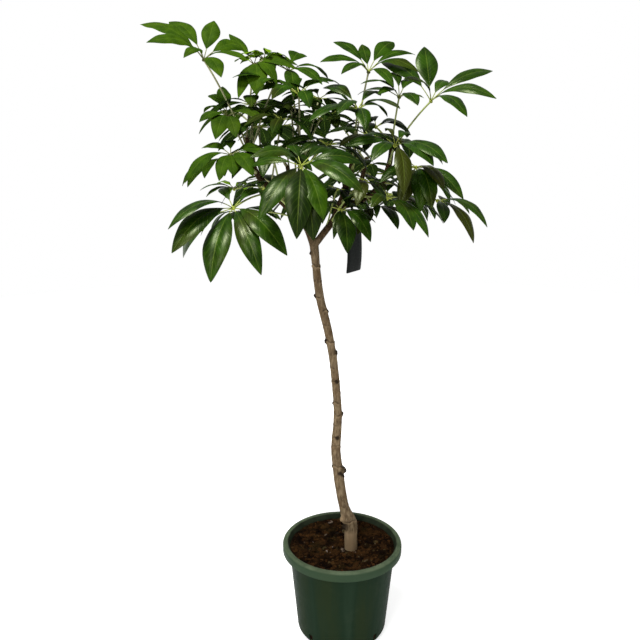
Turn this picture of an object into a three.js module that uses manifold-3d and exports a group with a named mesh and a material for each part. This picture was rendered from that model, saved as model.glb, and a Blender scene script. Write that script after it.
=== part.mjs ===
// A potted umbrella plant: a bare woody trunk that forks into six limbs, a head of large compound
// leaves, a dark green nursery pot filled with bark mix, and a blank tag looped round one limb.
// Millimetres, +Z up. The origin is the centre of the pot's underside, and -Y is the front.
import * as THREE from "three";
import { mergeVertices } from "three/addons/utils/BufferGeometryUtils.js";
import Module from "manifold-3d";

const wasm = await Module();
wasm.setup();

// ---- driving dimensions -------------------------------------------------------------------------

const GAP = 0.3; // running clearance left between pieces that touch

const POT = {
  height: 250,
  baseRadius: 111.5, // where the wall's slant would meet the ground
  bodyTopRadius: 131.5, // at the height where the body starts to flare
  flareDepth: 36, // from the rim's top down to the start of the flare
  throatRadius: 131, // inside the flare, just under the rim
  throatDepth: 16,
  wall: 3,
  baseRounding: 24,
  rimRadius: 150,
  rimInnerRadius: 136,
  rimDepth: 24,
  rimWall: 3,
  rimRounding: 5,
  footSteps: 3,
  segments: 40,
};
// Drain slots through the rounded foot of the wall.
const DRAIN = { count: 4, firstHeading: -134, width: 12, foot: 12, top: 34, reach: 22 };

// The mix is dished: highest against the pot's wall and lowest round the trunk.
const MIX = {
  edgeTop: 236,
  shoulderRadius: 118,
  slopeTop: 227,
  slopeRadius: 60,
  middleTop: 222,
  segments: 36,
};

const TRUNK = {
  sides: 10,
  step: 34,
  // centre line as [x, y, z], with the radius there
  line: [
    [26, 8, 130, 16.5],
    [23, 5, 218, 16.5],
    [22, 5, 262, 16.5],
    [22, 5, 290, 15.8],
    [15, 5, 310, 17],
    [9, 5, 325, 14.2],
    [4, 5, 342, 12.4],
    [-7, 5, 405, 13],
    [-16, 5, 480, 12.2],
    [-17, 5, 507, 12],
    [-13, 5, 570, 10.6],
    [-14, 5, 617, 9.9],
    [-19, 4, 673, 9.7],
    [-25, 3, 730, 9.9],
    [-38, 2, 802, 10],
    [-56, 1, 879, 10],
    [-65, 0, 952, 9.4],
    [-70, 0, 1008, 10.6],
  ],
};
// Pruned side shoots on the trunk: height, heading, how far each stands out, and its radius.
const STUB = { pitch: 30, taper: 0.8, sides: 7 };
const STUBS = [
  { height: 309, heading: 188, reach: 22, radius: 8 },
  { height: 434, heading: -10, reach: 20, radius: 9 },
  { height: 586, heading: 20, reach: 14, radius: 5 },
  { height: 742, heading: -25, reach: 14, radius: 4.5 },
  { height: 770, heading: 190, reach: 14, radius: 4.5 },
  { height: 880, heading: 170, reach: 14, radius: 4.5 },
  { height: 978, heading: 185, reach: 14, radius: 5 },
];

const LIMB = { sides: 8, step: 30 };
// Each limb's centre line as [x, y, z, radius]. It starts inside what carries it and is cut back there.
const LIMBS = {
  left: [
    [-70, 0, 1000, 8.5],
    [-88, -2, 1045, 8.2],
    [-125, -5, 1085, 7.8],
    [-165, -12, 1125, 7.4],
    [-190, -18, 1156, 7.2],
    [-212, -8, 1200, 6.6],
    [-218, 2, 1236, 5.4],
  ],
  middle: [
    [-112, -4, 1070, 6],
    [-110, 4, 1104, 6],
    [-103, 8, 1150, 5.8],
    [-98, 8, 1205, 5],
  ],
  centre: [
    [-70, 0, 1000, 8.2],
    [-44, -2, 1034, 8],
    [-29, 0, 1054, 7.8],
    [-15, 2, 1084, 7.6],
    [0, 6, 1125, 7.2],
    [12, 10, 1165, 6.8],
    [20, 14, 1212, 5.6],
  ],
  right: [
    [-14, 3, 1086, 6.6],
    [36, 6, 1102, 6.8],
    [76, 6, 1132, 6.8],
    [98, 8, 1180, 6.4],
    [104, 12, 1232, 5.2],
  ],
  back_left: [
    [-67, 2, 975, 7],
    [-82, 52, 1022, 7],
    [-104, 112, 1066, 6.8],
    [-124, 160, 1110, 6.4],
    [-136, 192, 1165, 5.4],
  ],
  back_right: [
    [-38, -1, 1043, 6.4],
    [-12, 55, 1072, 6.6],
    [20, 112, 1102, 6.6],
    [44, 156, 1134, 6.2],
    [58, 186, 1186, 5.2],
  ],
};
const CARRIED_BY = {
  left: [],
  middle: ["left"],
  centre: ["left"],
  right: ["centre"],
  back_left: ["left"],
  back_right: ["centre"],
};

const PETIOLE = { radius: 2.6, sides: 5, steps: 3, rise: 0.1 };
const HUB_RADIUS = 5;
const LEAFLET = {
  stalk: 0.16, // share of a level leaflet's length taken by its own little stalk
  stalkRise: 0.00125, // how much that share grows with each degree of pitch
  stalkRadius: 1.3,
  slenderness: 0.29, // width over length
  broadest: 1.15, // above 1 the blade is broadest beyond its middle
  fullness: 0.85, // below 1 its ends are blunter
  thickness: 1.4,
  foot: 0.015, // share of the length where the little stalk starts, inside the hub
  bladeStations: [0.42, 0.74], // shares of the length where the blade has a cross-section
  bow: 0.18,
  uprightPitch: 36.5, // a leaflet that stands steeper than this is nearly flat
  uprightBow: 0.3,
  bowSway: 0.03,
  rollSway: 9,
  rollStep: 2.4, // from one leaflet to the next
  bowStep: 1.7,
};
const LEAN = 14; // how far an umbrella of leaflets tips outwards, in degrees
// How unevenly the leaflets of a leaf that opens evenly still stand, and how their lengths vary.
const UNEVEN = { turn: 7, turnStep: 2.1, length: 0.94, lengthSway: 0.08, lengthStep: 1.9 };
const CLEARANCE = 0.4; // kept between one leaf and the next where they cross
const LEAF_TOLERANCE = 0.02; // corners closer than this to a straight edge are left out

// Every compound leaf: how far along its limb it grows, from 0 to 1, and the hub where its leaflets
// meet. A leaflet is [heading, pitch, length], with heading 0 along +X and 90 along +Y, and a fourth
// number where it is broader or narrower than most. A leaf with a spread instead has [count, first
// heading, droop, length] and opens evenly round its hub.
const LEAVES = {
  left: [
    {
      along: 0.95,
      hub: [-310, 30, 1405],
      leaflets: [
        [162, 27, 172, 1.15], [136, 36, 150], [76, 52, 112, 1.25], [46, 12, 129, 1.2],
        [-34, -3, 124], [-62, -22, 111, 1.1], [-104, -2, 108, 0.8], [-134, 10, 148, 0.9],
      ],
    },
    {
      along: 1,
      hub: [-203, 60, 1397],
      leaflets: [
        [130, 37, 120, 0.85], [134, 8, 70, 0.9], [-106, -37, 124, 0.75], [-83, -35, 120, 1.3],
        [-57, -24, 110], [-20, -7, 104, 0.8], [20, 0, 104], [50, -2, 116], [82, 20, 84],
      ],
    },
    {
      along: 0.86,
      hub: [-156, 0, 1349],
      spread: [7, 45, 4, 92],
    },
    {
      along: 0.81,
      hub: [-259, 0, 1284],
      leaflets: [
        [102, 38, 110], [120, 25, 113, 0.8], [-119, -6, 100, 0.9], [130, 6, 97, 0.7],
        [-98, -24, 112, 1.15], [-74, -22, 110], [-40, -4, 110], [10, -2, 104], [62, 4, 110],
      ],
    },
    {
      along: 0.72,
      hub: [-243, -90, 1206],
      leaflets: [
        [141, 8, 90], [-129, -21, 140, 0.8], [-100, -28, 100], [-81, -24, 92, 1.1],
        [-60, -19, 115], [-8, -8, 108], [46, 2, 104], [98, 18, 84],
      ],
    },
    {
      along: 0.6,
      hub: [-247, -10, 1129],
      leaflets: [
        [-145, 1, 84, 1.4], [-136, -9, 78, 0.8], [-101, -13, 62],
        [-56, 12, 62], [130, 6, 71, 0.8], [64, -12, 65],
      ],
    },
    {
      along: 0.52,
      hub: [-230, -190, 1106],
      leaflets: [
        [155, -41, 168, 1.1], [-132, -9, 165, 0.75], [-129, -23, 178, 0.95], [-103, -42, 186],
        [-62, -40, 176, 0.8], [-43, -27, 172], [58, 14, 112, 0.8], [112, 20, 96, 0.8],
      ],
    },
    { along: 0.765, hub: [-212, 62, 1312], spread: [8, 5, 18, 118] },
    { along: 0.66, hub: [-192, 28, 1262], spread: [8, 30, 22, 112] },
    { along: 0.42, hub: [-160, -66, 1214], spread: [7, 12, 14, 124] },
    { along: 0.34, hub: [-172, -112, 1136], spread: [6, 35, 12, 88] },
    { along: 0.56, hub: [-138, -30, 1278], spread: [7, 8, 12, 104] },
    { along: 0.905, hub: [-183, 90, 1411], spread: [8, 15, 4, 66] },
  ],
  middle: [
    {
      along: 1,
      hub: [-127, 80, 1385],
      leaflets: [
        [75, 20, 113, 1.3], [128, 24, 104, 0.8], [172, 2, 104, 0.8], [-136, -10, 112, 0.9],
        [-82, -29, 122], [-50, -16, 123, 0.85], [44, -6, 126, 0.8],
      ],
    },
    {
      along: 0.86,
      hub: [-101, -30, 1329],
      leaflets: [
        [45, 11, 130], [-56, 10, 114], [-76, -16, 104], [-118, -6, 112],
        [100, 20, 104], [144, 14, 110], [-170, 0, 104],
      ],
    },
    {
      along: 0.5,
      hub: [-93, -200, 1190],
      leaflets: [
        [-136, 9, 130, 0.75], [160, -2, 112, 0.85], [-124, -34, 165, 0.85], [-93, -46, 176],
        [-76, -52, 168, 1.15], [-69, -37, 152, 0.95], [-46, -14, 172, 0.9], [8, 2, 120],
        [58, 14, 118], [104, 18, 112, 0.8],
      ],
    },
    { along: 0.74, hub: [-56, 62, 1280], spread: [7, 25, 12, 112] },
    { along: 0.62, hub: [-40, -46, 1226], spread: [8, 8, 14, 112] },
    { along: 0.38, hub: [-120, 30, 1304], spread: [7, 18, 16, 106] },
    { along: 0.26, hub: [-58, 90, 1324], spread: [7, 2, 10, 104] },
  ],
  centre: [
    {
      along: 1,
      hub: [51, 40, 1380],
      leaflets: [
        [136, 33, 128, 0.75], [-146, 7, 130, 0.85], [-127, -5, 104], [97, 37, 110, 0.85],
        [52, 35, 122, 1.05], [29, 18, 132, 0.85], [-38, -2, 128], [-65, -18, 118, 0.7],
      ],
    },
    {
      along: 0.9,
      hub: [24, -60, 1299],
      leaflets: [
        [-137, -10, 142], [132, 23, 120], [-114, -6, 112], [-84, -22, 108],
        [-52, 0, 128], [48, -8, 104, 0.8], [60, 16, 112],
      ],
    },
    {
      along: 0.5,
      hub: [84, -120, 1119],
      leaflets: [
        [-118, -8, 84], [105, 12, 94], [-69, -23, 132, 1.1], [-55, -27, 146, 0.8],
        [34, -26, 128], [90, 4, 110], [150, -6, 108],
      ],
    },
    {
      along: 0.72,
      hub: [66, -30, 1090],
      leaflets: [
        [46, -24, 88], [-8, -18, 88], [-67, -18, 112], [-92, -9, 84, 0.6],
        [-116, -26, 108], [140, -10, 104],
      ],
    },
    {
      along: 0.3,
      hub: [-12, -92, 1092],
      leaflets: [
        [-84, -35, 132, 1.05], [-101, -30, 100, 0.6], [-51, -31, 112, 1.1], [0, -20, 80],
        [60, -10, 104], [115, -8, 104], [160, -12, 100, 0.8],
      ],
    },
    { along: 0.8, hub: [52, -32, 1242], spread: [8, 40, 10, 104] },
    { along: 0.4, hub: [40, -72, 1152], spread: [6, 10, 18, 104] },
    { along: 0.63, hub: [50, 66, 1176], spread: [7, 15, 10, 100] },
    { along: 0.2, hub: [-18, 0, 1128], spread: [7, 36, 20, 98] },
  ],
  right: [
    {
      along: 0.87,
      hub: [191, 40, 1318],
      leaflets: [
        [17, 24, 165, 0.75], [-38, 1, 158, 0.7], [-61, -15, 132, 1.05], [96, 57, 146, 1.2],
        [139, 33, 167, 1.25], [56, 31, 90, 1.1], [-133, 23, 112, 0.85],
      ],
    },
    {
      along: 1,
      hub: [118, 20, 1326],
      leaflets: [
        [-144, 13, 112], [-128, 2, 84], [-72, -11, 100, 1.1], [-20, -2, 56, 0.7],
        [62, 22, 96, 1.2], [94, 31, 105, 0.8], [142, 4, 112, 0.8],
      ],
    },
    {
      along: 0.76,
      hub: [100, -100, 1226],
      leaflets: [
        [70, 8, 104, 0.8], [29, -16, 140, 0.9], [-49, -12, 146, 0.95], [-58, -16, 130, 1.15],
        [-85, -41, 142, 0.85], [-120, -14, 114], [-162, 0, 110], [98, 17, 97, 0.6], [140, 4, 104],
      ],
    },
    {
      along: 0.66,
      hub: [150, -60, 1179],
      leaflets: [
        [-51, -23, 148, 0.75], [-70, -16, 132, 0.85], [-78, -36, 132, 0.95], [-90, -40, 130, 0.95],
        [-114, -35, 128], [-140, -14, 112], [50, -25, 120, 0.9], [110, -6, 104],
      ],
    },
    {
      along: 0.55,
      hub: [214, 40, 1098],
      leaflets: [
        [-89, -22, 104], [-58, -33, 150, 0.85], [-40, -21, 140, 0.75], [30, -20, 104, 0.8],
        [70, -14, 104], [120, -12, 104], [-146, -18, 100],
      ],
    },
    {
      along: 0.94,
      hub: [72, 70, 1262],
      leaflets: [
        [-47, 0, 92, 0.75], [-41, -10, 98, 0.7], [-110, -12, 92], [-150, -4, 96, 0.8],
        [150, 0, 96], [95, 6, 90], [40, 0, 96],
      ],
    },
  ],
  back_left: [
    { along: 1, hub: [-250, 220, 1290], spread: [7, 10, 8, 124] },
    { along: 0.8, hub: [-150, 270, 1262], spread: [8, 30, 10, 128] },
    { along: 0.66, hub: [-292, 190, 1182], spread: [7, 0, 18, 132] },
    { along: 0.73, hub: [-52, 292, 1212], spread: [7, 20, 14, 132] },
    { along: 0.58, hub: [-196, 306, 1130], spread: [8, 12, 26, 146] },
    { along: 0.5, hub: [-78, 226, 1092], spread: [6, 35, 30, 132] },
    { along: 0.4, hub: [-262, 214, 1052], spread: [7, 24, 20, 116] },
  ],
  back_right: [
    { along: 1, hub: [150, 232, 1222], spread: [7, 15, 12, 122] },
    { along: 0.92, hub: [30, 284, 1148], spread: [7, 40, 22, 132] },
    { along: 0.84, hub: [202, 184, 1132], spread: [7, 30, 22, 100] },
    { along: 0.76, hub: [124, 256, 1092], spread: [7, 30, 20, 124] },
    { along: 0.66, hub: [-16, 200, 1072], spread: [7, 18, 22, 112] },
    { along: 0.96, hub: [-30, 152, 1292], spread: [7, 28, 20, 112] },
    { along: 0.55, hub: [166, 108, 1088], spread: [7, 40, 20, 92] },
  ],
};

const TAG = {
  limb: "centre",
  along: 0.62, // where its loop sits on the limb
  loopWall: 1.2,
  loopWidth: 9,
  loopSlack: 0.4,
  loopSides: 16,
  width: 60,
  length: 122,
  thickness: 1.2,
  centre: [20, -20],
  top: 1066,
  turn: 55, // the plate faces this far to the right of the front
  neckWidth: 10,
  neckOverlap: 3, // how far the neck runs on into the band and the plate
  shoulder: 16, // height of the sloping shoulders between neck and plate
};

// ---- materials ----------------------------------------------------------------------------------

const finish = (color, roughness) => new THREE.MeshStandardMaterial({ color, roughness, metalness: 0 });
const MATERIALS = {
  pot: finish(0x2b4433, 0.45),
  mix: finish(0x2e1b10, 0.95),
  bark: finish(0x8a745a, 0.85),
  youngBark: finish(0x6e5238, 0.8),
  leaf: finish(0x3c6e14, 0.35),
  tag: finish(0x23272a, 0.5),
};

// ---- solids -------------------------------------------------------------------------------------

const UP = new THREE.Vector3(0, 0, 1);
const radians = THREE.MathUtils.degToRad;

function aim(heading, pitch) {
  const level = Math.cos(radians(pitch));
  const turn = radians(heading);
  return new THREE.Vector3(level * Math.cos(turn), level * Math.sin(turn), Math.sin(radians(pitch)));
}

// A closed surface as a solid that can be joined and cut.
function solidOf(geometry) {
  const bare = geometry.clone();
  bare.deleteAttribute("normal");
  bare.deleteAttribute("uv");
  const merged = mergeVertices(bare, 1e-4);
  const solid = new wasm.Manifold(
    new wasm.Mesh({
      numProp: 3,
      vertProperties: new Float32Array(merged.attributes.position.array),
      triVerts: new Uint32Array(merged.index.array),
    }),
  );
  if (solid.volume() < 0) throw new Error("a piece is inside out");
  return solid;
}

function geometryOf(solid) {
  const mesh = solid.getMesh();
  const geometry = new THREE.BufferGeometry();
  geometry.setAttribute("position", new THREE.BufferAttribute(mesh.vertProperties, 3));
  geometry.setIndex(new THREE.BufferAttribute(mesh.triVerts, 1));
  geometry.computeVertexNormals();
  return geometry;
}

const join = (solids) => solids.reduce((whole, solid) => whole.add(solid));

function largestBody(solid) {
  return solid.decompose().reduce((best, body) => (body.volume() > best.volume() ? body : best));
}

// A closed surface through rings of equally many points, shut by a fan at its start and a point at
// its end.
function loft(rings, tip) {
  const sides = rings[0].length;
  const points = [...rings.flat(), tip];
  const index = [];
  for (let ring = 0; ring + 1 < rings.length; ring++) {
    for (let side = 0; side < sides; side++) {
      const a = ring * sides + side;
      const b = ring * sides + ((side + 1) % sides);
      index.push(a, b, b + sides, a, b + sides, a + sides);
    }
  }
  const last = (rings.length - 1) * sides;
  for (let side = 0; side < sides; side++) {
    index.push(last + side, last + ((side + 1) % sides), points.length - 1);
  }
  for (let side = 1; side + 1 < sides; side++) index.push(0, side + 1, side);
  const geometry = new THREE.BufferGeometry();
  const coordinates = points.flatMap((point) => point.toArray());
  geometry.setAttribute("position", new THREE.Float32BufferAttribute(coordinates, 3));
  geometry.setIndex(index);
  return geometry;
}

function roundOutline(radius, sides) {
  const outline = new THREE.Shape();
  for (let side = 0; side < sides; side++) {
    const angle = (2 * Math.PI * side) / sides;
    const corner = [radius * Math.cos(angle), radius * Math.sin(angle)];
    if (side === 0) outline.moveTo(...corner);
    else outline.lineTo(...corner);
  }
  return outline;
}

// A woody stem: a round section swept along its centre line, then scaled to the radius at each step.
class Stem {
  constructor(line, sides, step) {
    this.curve = new THREE.CatmullRomCurve3(line.map(([x, y, z]) => new THREE.Vector3(x, y, z)));
    this.radii = line.map((point) => point[3]);
    this.sides = sides;
    this.steps = Math.round(this.curve.getLength() / step);
  }

  // The radius at a share of the stem's length, read between the stations of its centre line.
  radiusAt(share) {
    const place = this.curve.getUtoTmapping(share) * (this.radii.length - 1);
    const below = Math.min(Math.floor(place), this.radii.length - 2);
    return THREE.MathUtils.lerp(this.radii[below], this.radii[below + 1], place - below);
  }

  solid(extra = 0) {
    const swept = new THREE.ExtrudeGeometry(roundOutline(1, this.sides), {
      steps: this.steps,
      extrudePath: this.curve,
    });
    const centres = this.curve.getSpacedPoints(this.steps);
    const position = swept.attributes.position;
    const point = new THREE.Vector3();
    for (let i = 0; i < position.count; i++) {
      point.fromBufferAttribute(position, i);
      const distances = centres.map((centre) => centre.distanceTo(point));
      const nearest = distances.indexOf(Math.min(...distances));
      const radius = this.radiusAt(nearest / this.steps) + extra;
      point.sub(centres[nearest]).multiplyScalar(radius).add(centres[nearest]);
      position.setXYZ(i, point.x, point.y, point.z);
    }
    return solidOf(swept);
  }
}

// ---- pot and potting mix ------------------------------------------------------------------------

const FLARE_FOOT = POT.height - POT.flareDepth; // height where the body starts to flare
const BASE_RADIUS_AT_ROUNDING = THREE.MathUtils.lerp(
  POT.baseRadius,
  POT.bodyTopRadius,
  POT.baseRounding / FLARE_FOOT,
);

function arc(centreX, centreY, radius, from, to, steps) {
  return Array.from({ length: steps + 1 }, (_, step) => {
    const angle = radians(THREE.MathUtils.lerp(from, to, step / steps));
    return new THREE.Vector2(centreX + radius * Math.cos(angle), centreY + radius * Math.sin(angle));
  });
}

// The rounded foot of the wall, moved inwards by a distance, from the underside up.
function footArc(inwards) {
  const centre = BASE_RADIUS_AT_ROUNDING - POT.baseRounding;
  return arc(centre, POT.baseRounding, POT.baseRounding - inwards, -90, 0, POT.footSteps);
}

function lathe(profile, segments) {
  return new THREE.LatheGeometry(profile, segments).rotateX(Math.PI / 2);
}

function potSolid() {
  const { height, wall, rimRadius, rimInnerRadius, rimWall } = POT;
  const point = (radius, level) => new THREE.Vector2(radius, level);
  const underRim = height - rimWall;
  const throat = height - POT.throatDepth;
  const skirtFoot = height - POT.rimDepth;
  const profile = [
    point(0, 0),
    ...footArc(0),
    point(POT.bodyTopRadius, FLARE_FOOT),
    point(POT.throatRadius + wall, throat),
    point(rimInnerRadius + wall, underRim),
    point(rimRadius - rimWall, underRim),
    point(rimRadius - rimWall, skirtFoot),
    point(rimRadius, skirtFoot),
    ...arc(rimRadius - POT.rimRounding, height - POT.rimRounding, POT.rimRounding, 0, 90, 3),
    point(rimInnerRadius, height),
    point(POT.throatRadius, throat),
    point(POT.bodyTopRadius - wall, FLARE_FOOT),
    ...footArc(wall).reverse(),
    point(0, wall),
  ];
  let pot = solidOf(lathe(profile, POT.segments));
  for (let slot = 0; slot < DRAIN.count; slot++) {
    const heading = radians(DRAIN.firstHeading + (360 * slot) / DRAIN.count);
    const slotCut = new THREE.BoxGeometry(2 * DRAIN.reach, DRAIN.width, DRAIN.top - DRAIN.foot);
    slotCut.translate(BASE_RADIUS_AT_ROUNDING, 0, (DRAIN.top + DRAIN.foot) / 2).rotateZ(heading);
    pot = pot.subtract(solidOf(slotCut));
  }
  return pot;
}

function mixSolid(trunk) {
  const inset = 2 * GAP; // a many-sided pot's flats stand a little inside its true circle
  const throat = POT.height - POT.throatDepth;
  const flare = (POT.rimInnerRadius - POT.throatRadius) / POT.throatDepth;
  const profile = [
    new THREE.Vector2(0, POT.wall + inset),
    ...footArc(POT.wall + inset),
    new THREE.Vector2(POT.bodyTopRadius - POT.wall - inset, FLARE_FOOT),
    new THREE.Vector2(POT.throatRadius - inset, throat),
    new THREE.Vector2(POT.throatRadius + flare * (MIX.edgeTop - throat) - inset, MIX.edgeTop),
    new THREE.Vector2(MIX.shoulderRadius, MIX.edgeTop),
    new THREE.Vector2(MIX.slopeRadius, MIX.slopeTop),
    new THREE.Vector2(0, MIX.middleTop),
  ];
  return solidOf(lathe(profile, MIX.segments)).subtract(trunk.clearance);
}

// ---- trunk and limbs ----------------------------------------------------------------------------

function trunkPiece() {
  const stem = new Stem(TRUNK.line, TRUNK.sides, TRUNK.step);
  const centreAt = (height) => {
    const line = TRUNK.line;
    const above = Math.max(1, line.findIndex((point) => point[2] >= height));
    const [low, high] = [line[above - 1], line[above]];
    const share = (height - low[2]) / (high[2] - low[2]);
    return new THREE.Vector3(
      THREE.MathUtils.lerp(low[0], high[0], share),
      THREE.MathUtils.lerp(low[1], high[1], share),
      height,
    );
  };
  const stubs = STUBS.map(({ height, heading, reach, radius }) => {
    const stub = new THREE.CylinderGeometry(radius * STUB.taper, radius, reach, STUB.sides);
    stub.translate(0, reach / 2, 0);
    const outward = aim(heading, STUB.pitch);
    stub.applyQuaternion(new THREE.Quaternion().setFromUnitVectors(new THREE.Vector3(0, 1, 0), outward));
    return solidOf(stub.translate(...centreAt(height).toArray()));
  });
  const clearance = join([stem.solid(GAP), ...stubs]);
  return { stem, solid: join([stem.solid(), ...stubs]), clearance };
}

function limbPieces(trunk) {
  const limbs = {};
  for (const [name, line] of Object.entries(LIMBS)) {
    const stem = new Stem(line, LIMB.sides, LIMB.step);
    const carriers = [trunk, ...CARRIED_BY[name].map((carrier) => limbs[carrier])];
    const cut = carriers.reduce((left, carrier) => left.subtract(carrier.clearance), stem.solid());
    limbs[name] = { stem, solid: largestBody(cut), clearance: stem.solid(GAP) };
  }
  return limbs;
}

// ---- leaves -------------------------------------------------------------------------------------

// The headings, pitches and lengths of a leaf whose leaflets open evenly and tip outwards.
function openEvenly([count, first, droop, length], outward) {
  return Array.from({ length: count }, (_, i) => {
    const heading = first + (360 * i) / count + UNEVEN.turn * Math.sin(UNEVEN.turnStep * i);
    const pitch = -droop - LEAN * Math.cos(radians(heading) - outward);
    const share = UNEVEN.length + UNEVEN.lengthSway * Math.cos(UNEVEN.lengthStep * i);
    return [heading, pitch, length * share];
  });
}

// The axis of the umbrella that a leaf's leaflets make: upright if all droop alike, else tipped to
// the low side.
function umbrellaAxis(leaflets) {
  const axis = UP.clone();
  for (const [heading, pitch] of leaflets) {
    axis.addScaledVector(aim(heading, 0), (-2 * Math.tan(radians(pitch))) / leaflets.length);
  }
  return axis.normalize();
}

// One leaflet as a thin closed blade on its own little stalk. A margin swells it on every side.
function leaflet({ hub, axis, leaflets }, order, margin = 0) {
  const [heading, pitch, length, breadth = 1] = leaflets[order];
  const along = aim(heading, pitch);
  const level = along.clone().cross(axis).normalize();
  const rise = level.clone().cross(along);
  const roll = radians(LEAFLET.rollSway * Math.sin(LEAFLET.rollStep * order + hub.x));
  const side = level.clone().multiplyScalar(Math.cos(roll)).addScaledVector(rise, Math.sin(roll));
  const arch = LEAFLET.bow + LEAFLET.bowSway * Math.sin(LEAFLET.bowStep * order + hub.z);
  const bow = pitch > LEAFLET.uprightPitch ? LEAFLET.uprightBow * arch : arch;
  const stalk = LEAFLET.stalk + LEAFLET.stalkRise * pitch;
  const place = (share) =>
    hub.clone()
      .addScaledVector(along, length * share)
      .addScaledVector(rise, length * bow * 4 * share * (1 - share));
  const rings = [LEAFLET.foot, stalk, ...LEAFLET.bladeStations].map((share) => {
    const blade = Math.max(0, (share - stalk) / (1 - stalk));
    const outline = Math.sin(Math.PI * blade ** LEAFLET.broadest) ** LEAFLET.fullness;
    const broadest = 0.5 * LEAFLET.slenderness * breadth * length;
    const half = Math.max(LEAFLET.stalkRadius, broadest * outline);
    const slope = along.clone().addScaledVector(rise, bow * 4 * (1 - 2 * share)).normalize();
    const normal = side.clone().cross(slope).normalize();
    const spot = (across, above) => place(share).addScaledVector(side, across).addScaledVector(normal, above);
    if (margin === 0) return [spot(-half, 0), spot(half, 0), spot(0, -LEAFLET.thickness)];
    const wide = half + margin;
    return [
      spot(-wide, margin),
      spot(wide, margin),
      spot(wide, -margin),
      spot(0, -LEAFLET.thickness - margin),
      spot(-wide, -margin),
    ];
  });
  return solidOf(loft(rings, place(1 + margin / length)));
}

// A petiole from the heart of its limb to the leaf's hub, cut back to the limb's surface.
function petiole(limb, along, hub, extra = 0) {
  const start = limb.stem.curve.getPointAt(along);
  const middle = start.clone().lerp(hub, 0.5);
  middle.z += PETIOLE.rise * start.distanceTo(hub);
  const stalk = new THREE.ExtrudeGeometry(roundOutline(PETIOLE.radius + extra, PETIOLE.sides), {
    steps: PETIOLE.steps,
    extrudePath: new THREE.QuadraticBezierCurve3(start, middle, hub),
  });
  const knob = new THREE.IcosahedronGeometry(HUB_RADIUS + extra).translate(...hub.toArray());
  return solidOf(stalk).subtract(limb.clearance).add(solidOf(knob));
}

// Whether two bounding boxes touch.
const near = (a, b) => [0, 1, 2].every((axis) => a.min[axis] <= b.max[axis] && b.min[axis] <= a.max[axis]);

function leafPieces(trunk, limbs, tag) {
  const leaves = Object.entries(LEAVES).flatMap(([limbName, list]) =>
    list.map((leaf, number) => {
      const limb = limbs[limbName];
      const hub = new THREE.Vector3(...leaf.hub);
      const start = limb.stem.curve.getPointAt(leaf.along);
      const outward = Math.atan2(hub.y - start.y, hub.x - start.x);
      const leaflets = leaf.leaflets ?? openEvenly(leaf.spread, outward);
      return {
        name: `${limbName}_leaf_${number + 1}`,
        hub,
        axis: umbrellaAxis(leaflets),
        leaflets,
        stalk: petiole(limb, leaf.along, hub),
        stalkClearance: petiole(limb, leaf.along, hub, CLEARANCE),
      };
    }),
  );
  const wood = [trunk, ...Object.values(limbs)].map((piece) => piece.clearance);
  const taken = []; // the swollen blades of the leaves already made
  for (const leaf of leaves) {
    const blades = join(leaf.leaflets.map((_, order) => leaflet(leaf, order)));
    const box = blades.boundingBox();
    const others = leaves.filter((other) => other !== leaf).map((other) => other.stalkClearance);
    const inTheWay = [...wood, tag, ...others, ...taken].filter((solid) => near(box, solid.boundingBox()));
    const free = inTheWay.reduce((left, solid) => left.subtract(solid), blades);
    leaf.solid = largestBody(largestBody(leaf.stalk.add(free)).simplify(LEAF_TOLERANCE));
    taken.push(...leaf.leaflets.map((_, order) => leaflet(leaf, order, CLEARANCE)));
  }
  return leaves;
}

// ---- tag ----------------------------------------------------------------------------------------

// A loop-lock tag cut from one sheet: a band round the limb, a neck that hangs from it, and a plate.
function tagSolid(limb) {
  const centre = limb.stem.curve.getPointAt(TAG.along);
  const inner = limb.stem.radiusAt(TAG.along) + GAP + TAG.loopSlack;
  const facing = aim(-90 + TAG.turn, 0);
  const across = facing.clone().cross(UP);
  const neckTop = centre.clone().addScaledVector(facing, inner + TAG.loopWall / 2);
  const plateTop = new THREE.Vector3(...TAG.centre, TAG.top);
  const band = tagBand(limb, centre, inner);
  const neck = tagNeck(neckTop, plateTop, across);
  const plate = tagPlate(plateTop, across);
  return largestBody(join([band, neck, plate].map(solidOf)).subtract(limb.clearance));
}

function tagBand(limb, centre, inner) {
  const outer = inner + TAG.loopWall;
  const half = TAG.loopWidth / 2;
  const corners = [[inner, -half], [outer, -half], [outer, half], [inner, half], [inner, -half]];
  const section = corners.map(([radius, height]) => new THREE.Vector2(radius, height));
  const direction = limb.stem.curve.getTangentAt(TAG.along);
  const turn = new THREE.Quaternion().setFromUnitVectors(new THREE.Vector3(0, 1, 0), direction);
  return new THREE.LatheGeometry(section, TAG.loopSides).applyQuaternion(turn).translate(...centre.toArray());
}

function tagNeck(top, foot, across) {
  const line = foot.clone().sub(top);
  const length = line.length() + 2 * TAG.neckOverlap;
  const direction = line.clone().normalize();
  const turn = new THREE.Matrix4().makeBasis(across, direction.clone().cross(across).normalize(), direction);
  const middle = top.clone().addScaledVector(line, 0.5);
  const neck = new THREE.BoxGeometry(TAG.neckWidth, TAG.thickness, length);
  return neck.applyMatrix4(turn).translate(...middle.toArray());
}

function tagPlate(top, across) {
  const half = TAG.width / 2;
  const outline = new THREE.Shape();
  outline.moveTo(-half, -TAG.length);
  outline.lineTo(half, -TAG.length);
  outline.lineTo(half, -TAG.shoulder);
  outline.lineTo(TAG.neckWidth, 0);
  outline.lineTo(-TAG.neckWidth, 0);
  outline.lineTo(-half, -TAG.shoulder);
  const plate = new THREE.ExtrudeGeometry(outline, { depth: TAG.thickness, bevelEnabled: false });
  plate.translate(0, 0, -TAG.thickness / 2);
  plate.applyMatrix4(new THREE.Matrix4().makeBasis(across, UP, across.clone().cross(UP)));
  return plate.translate(...top.toArray());
}

// ---- assembly -----------------------------------------------------------------------------------

const plant = new THREE.Group();

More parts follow.
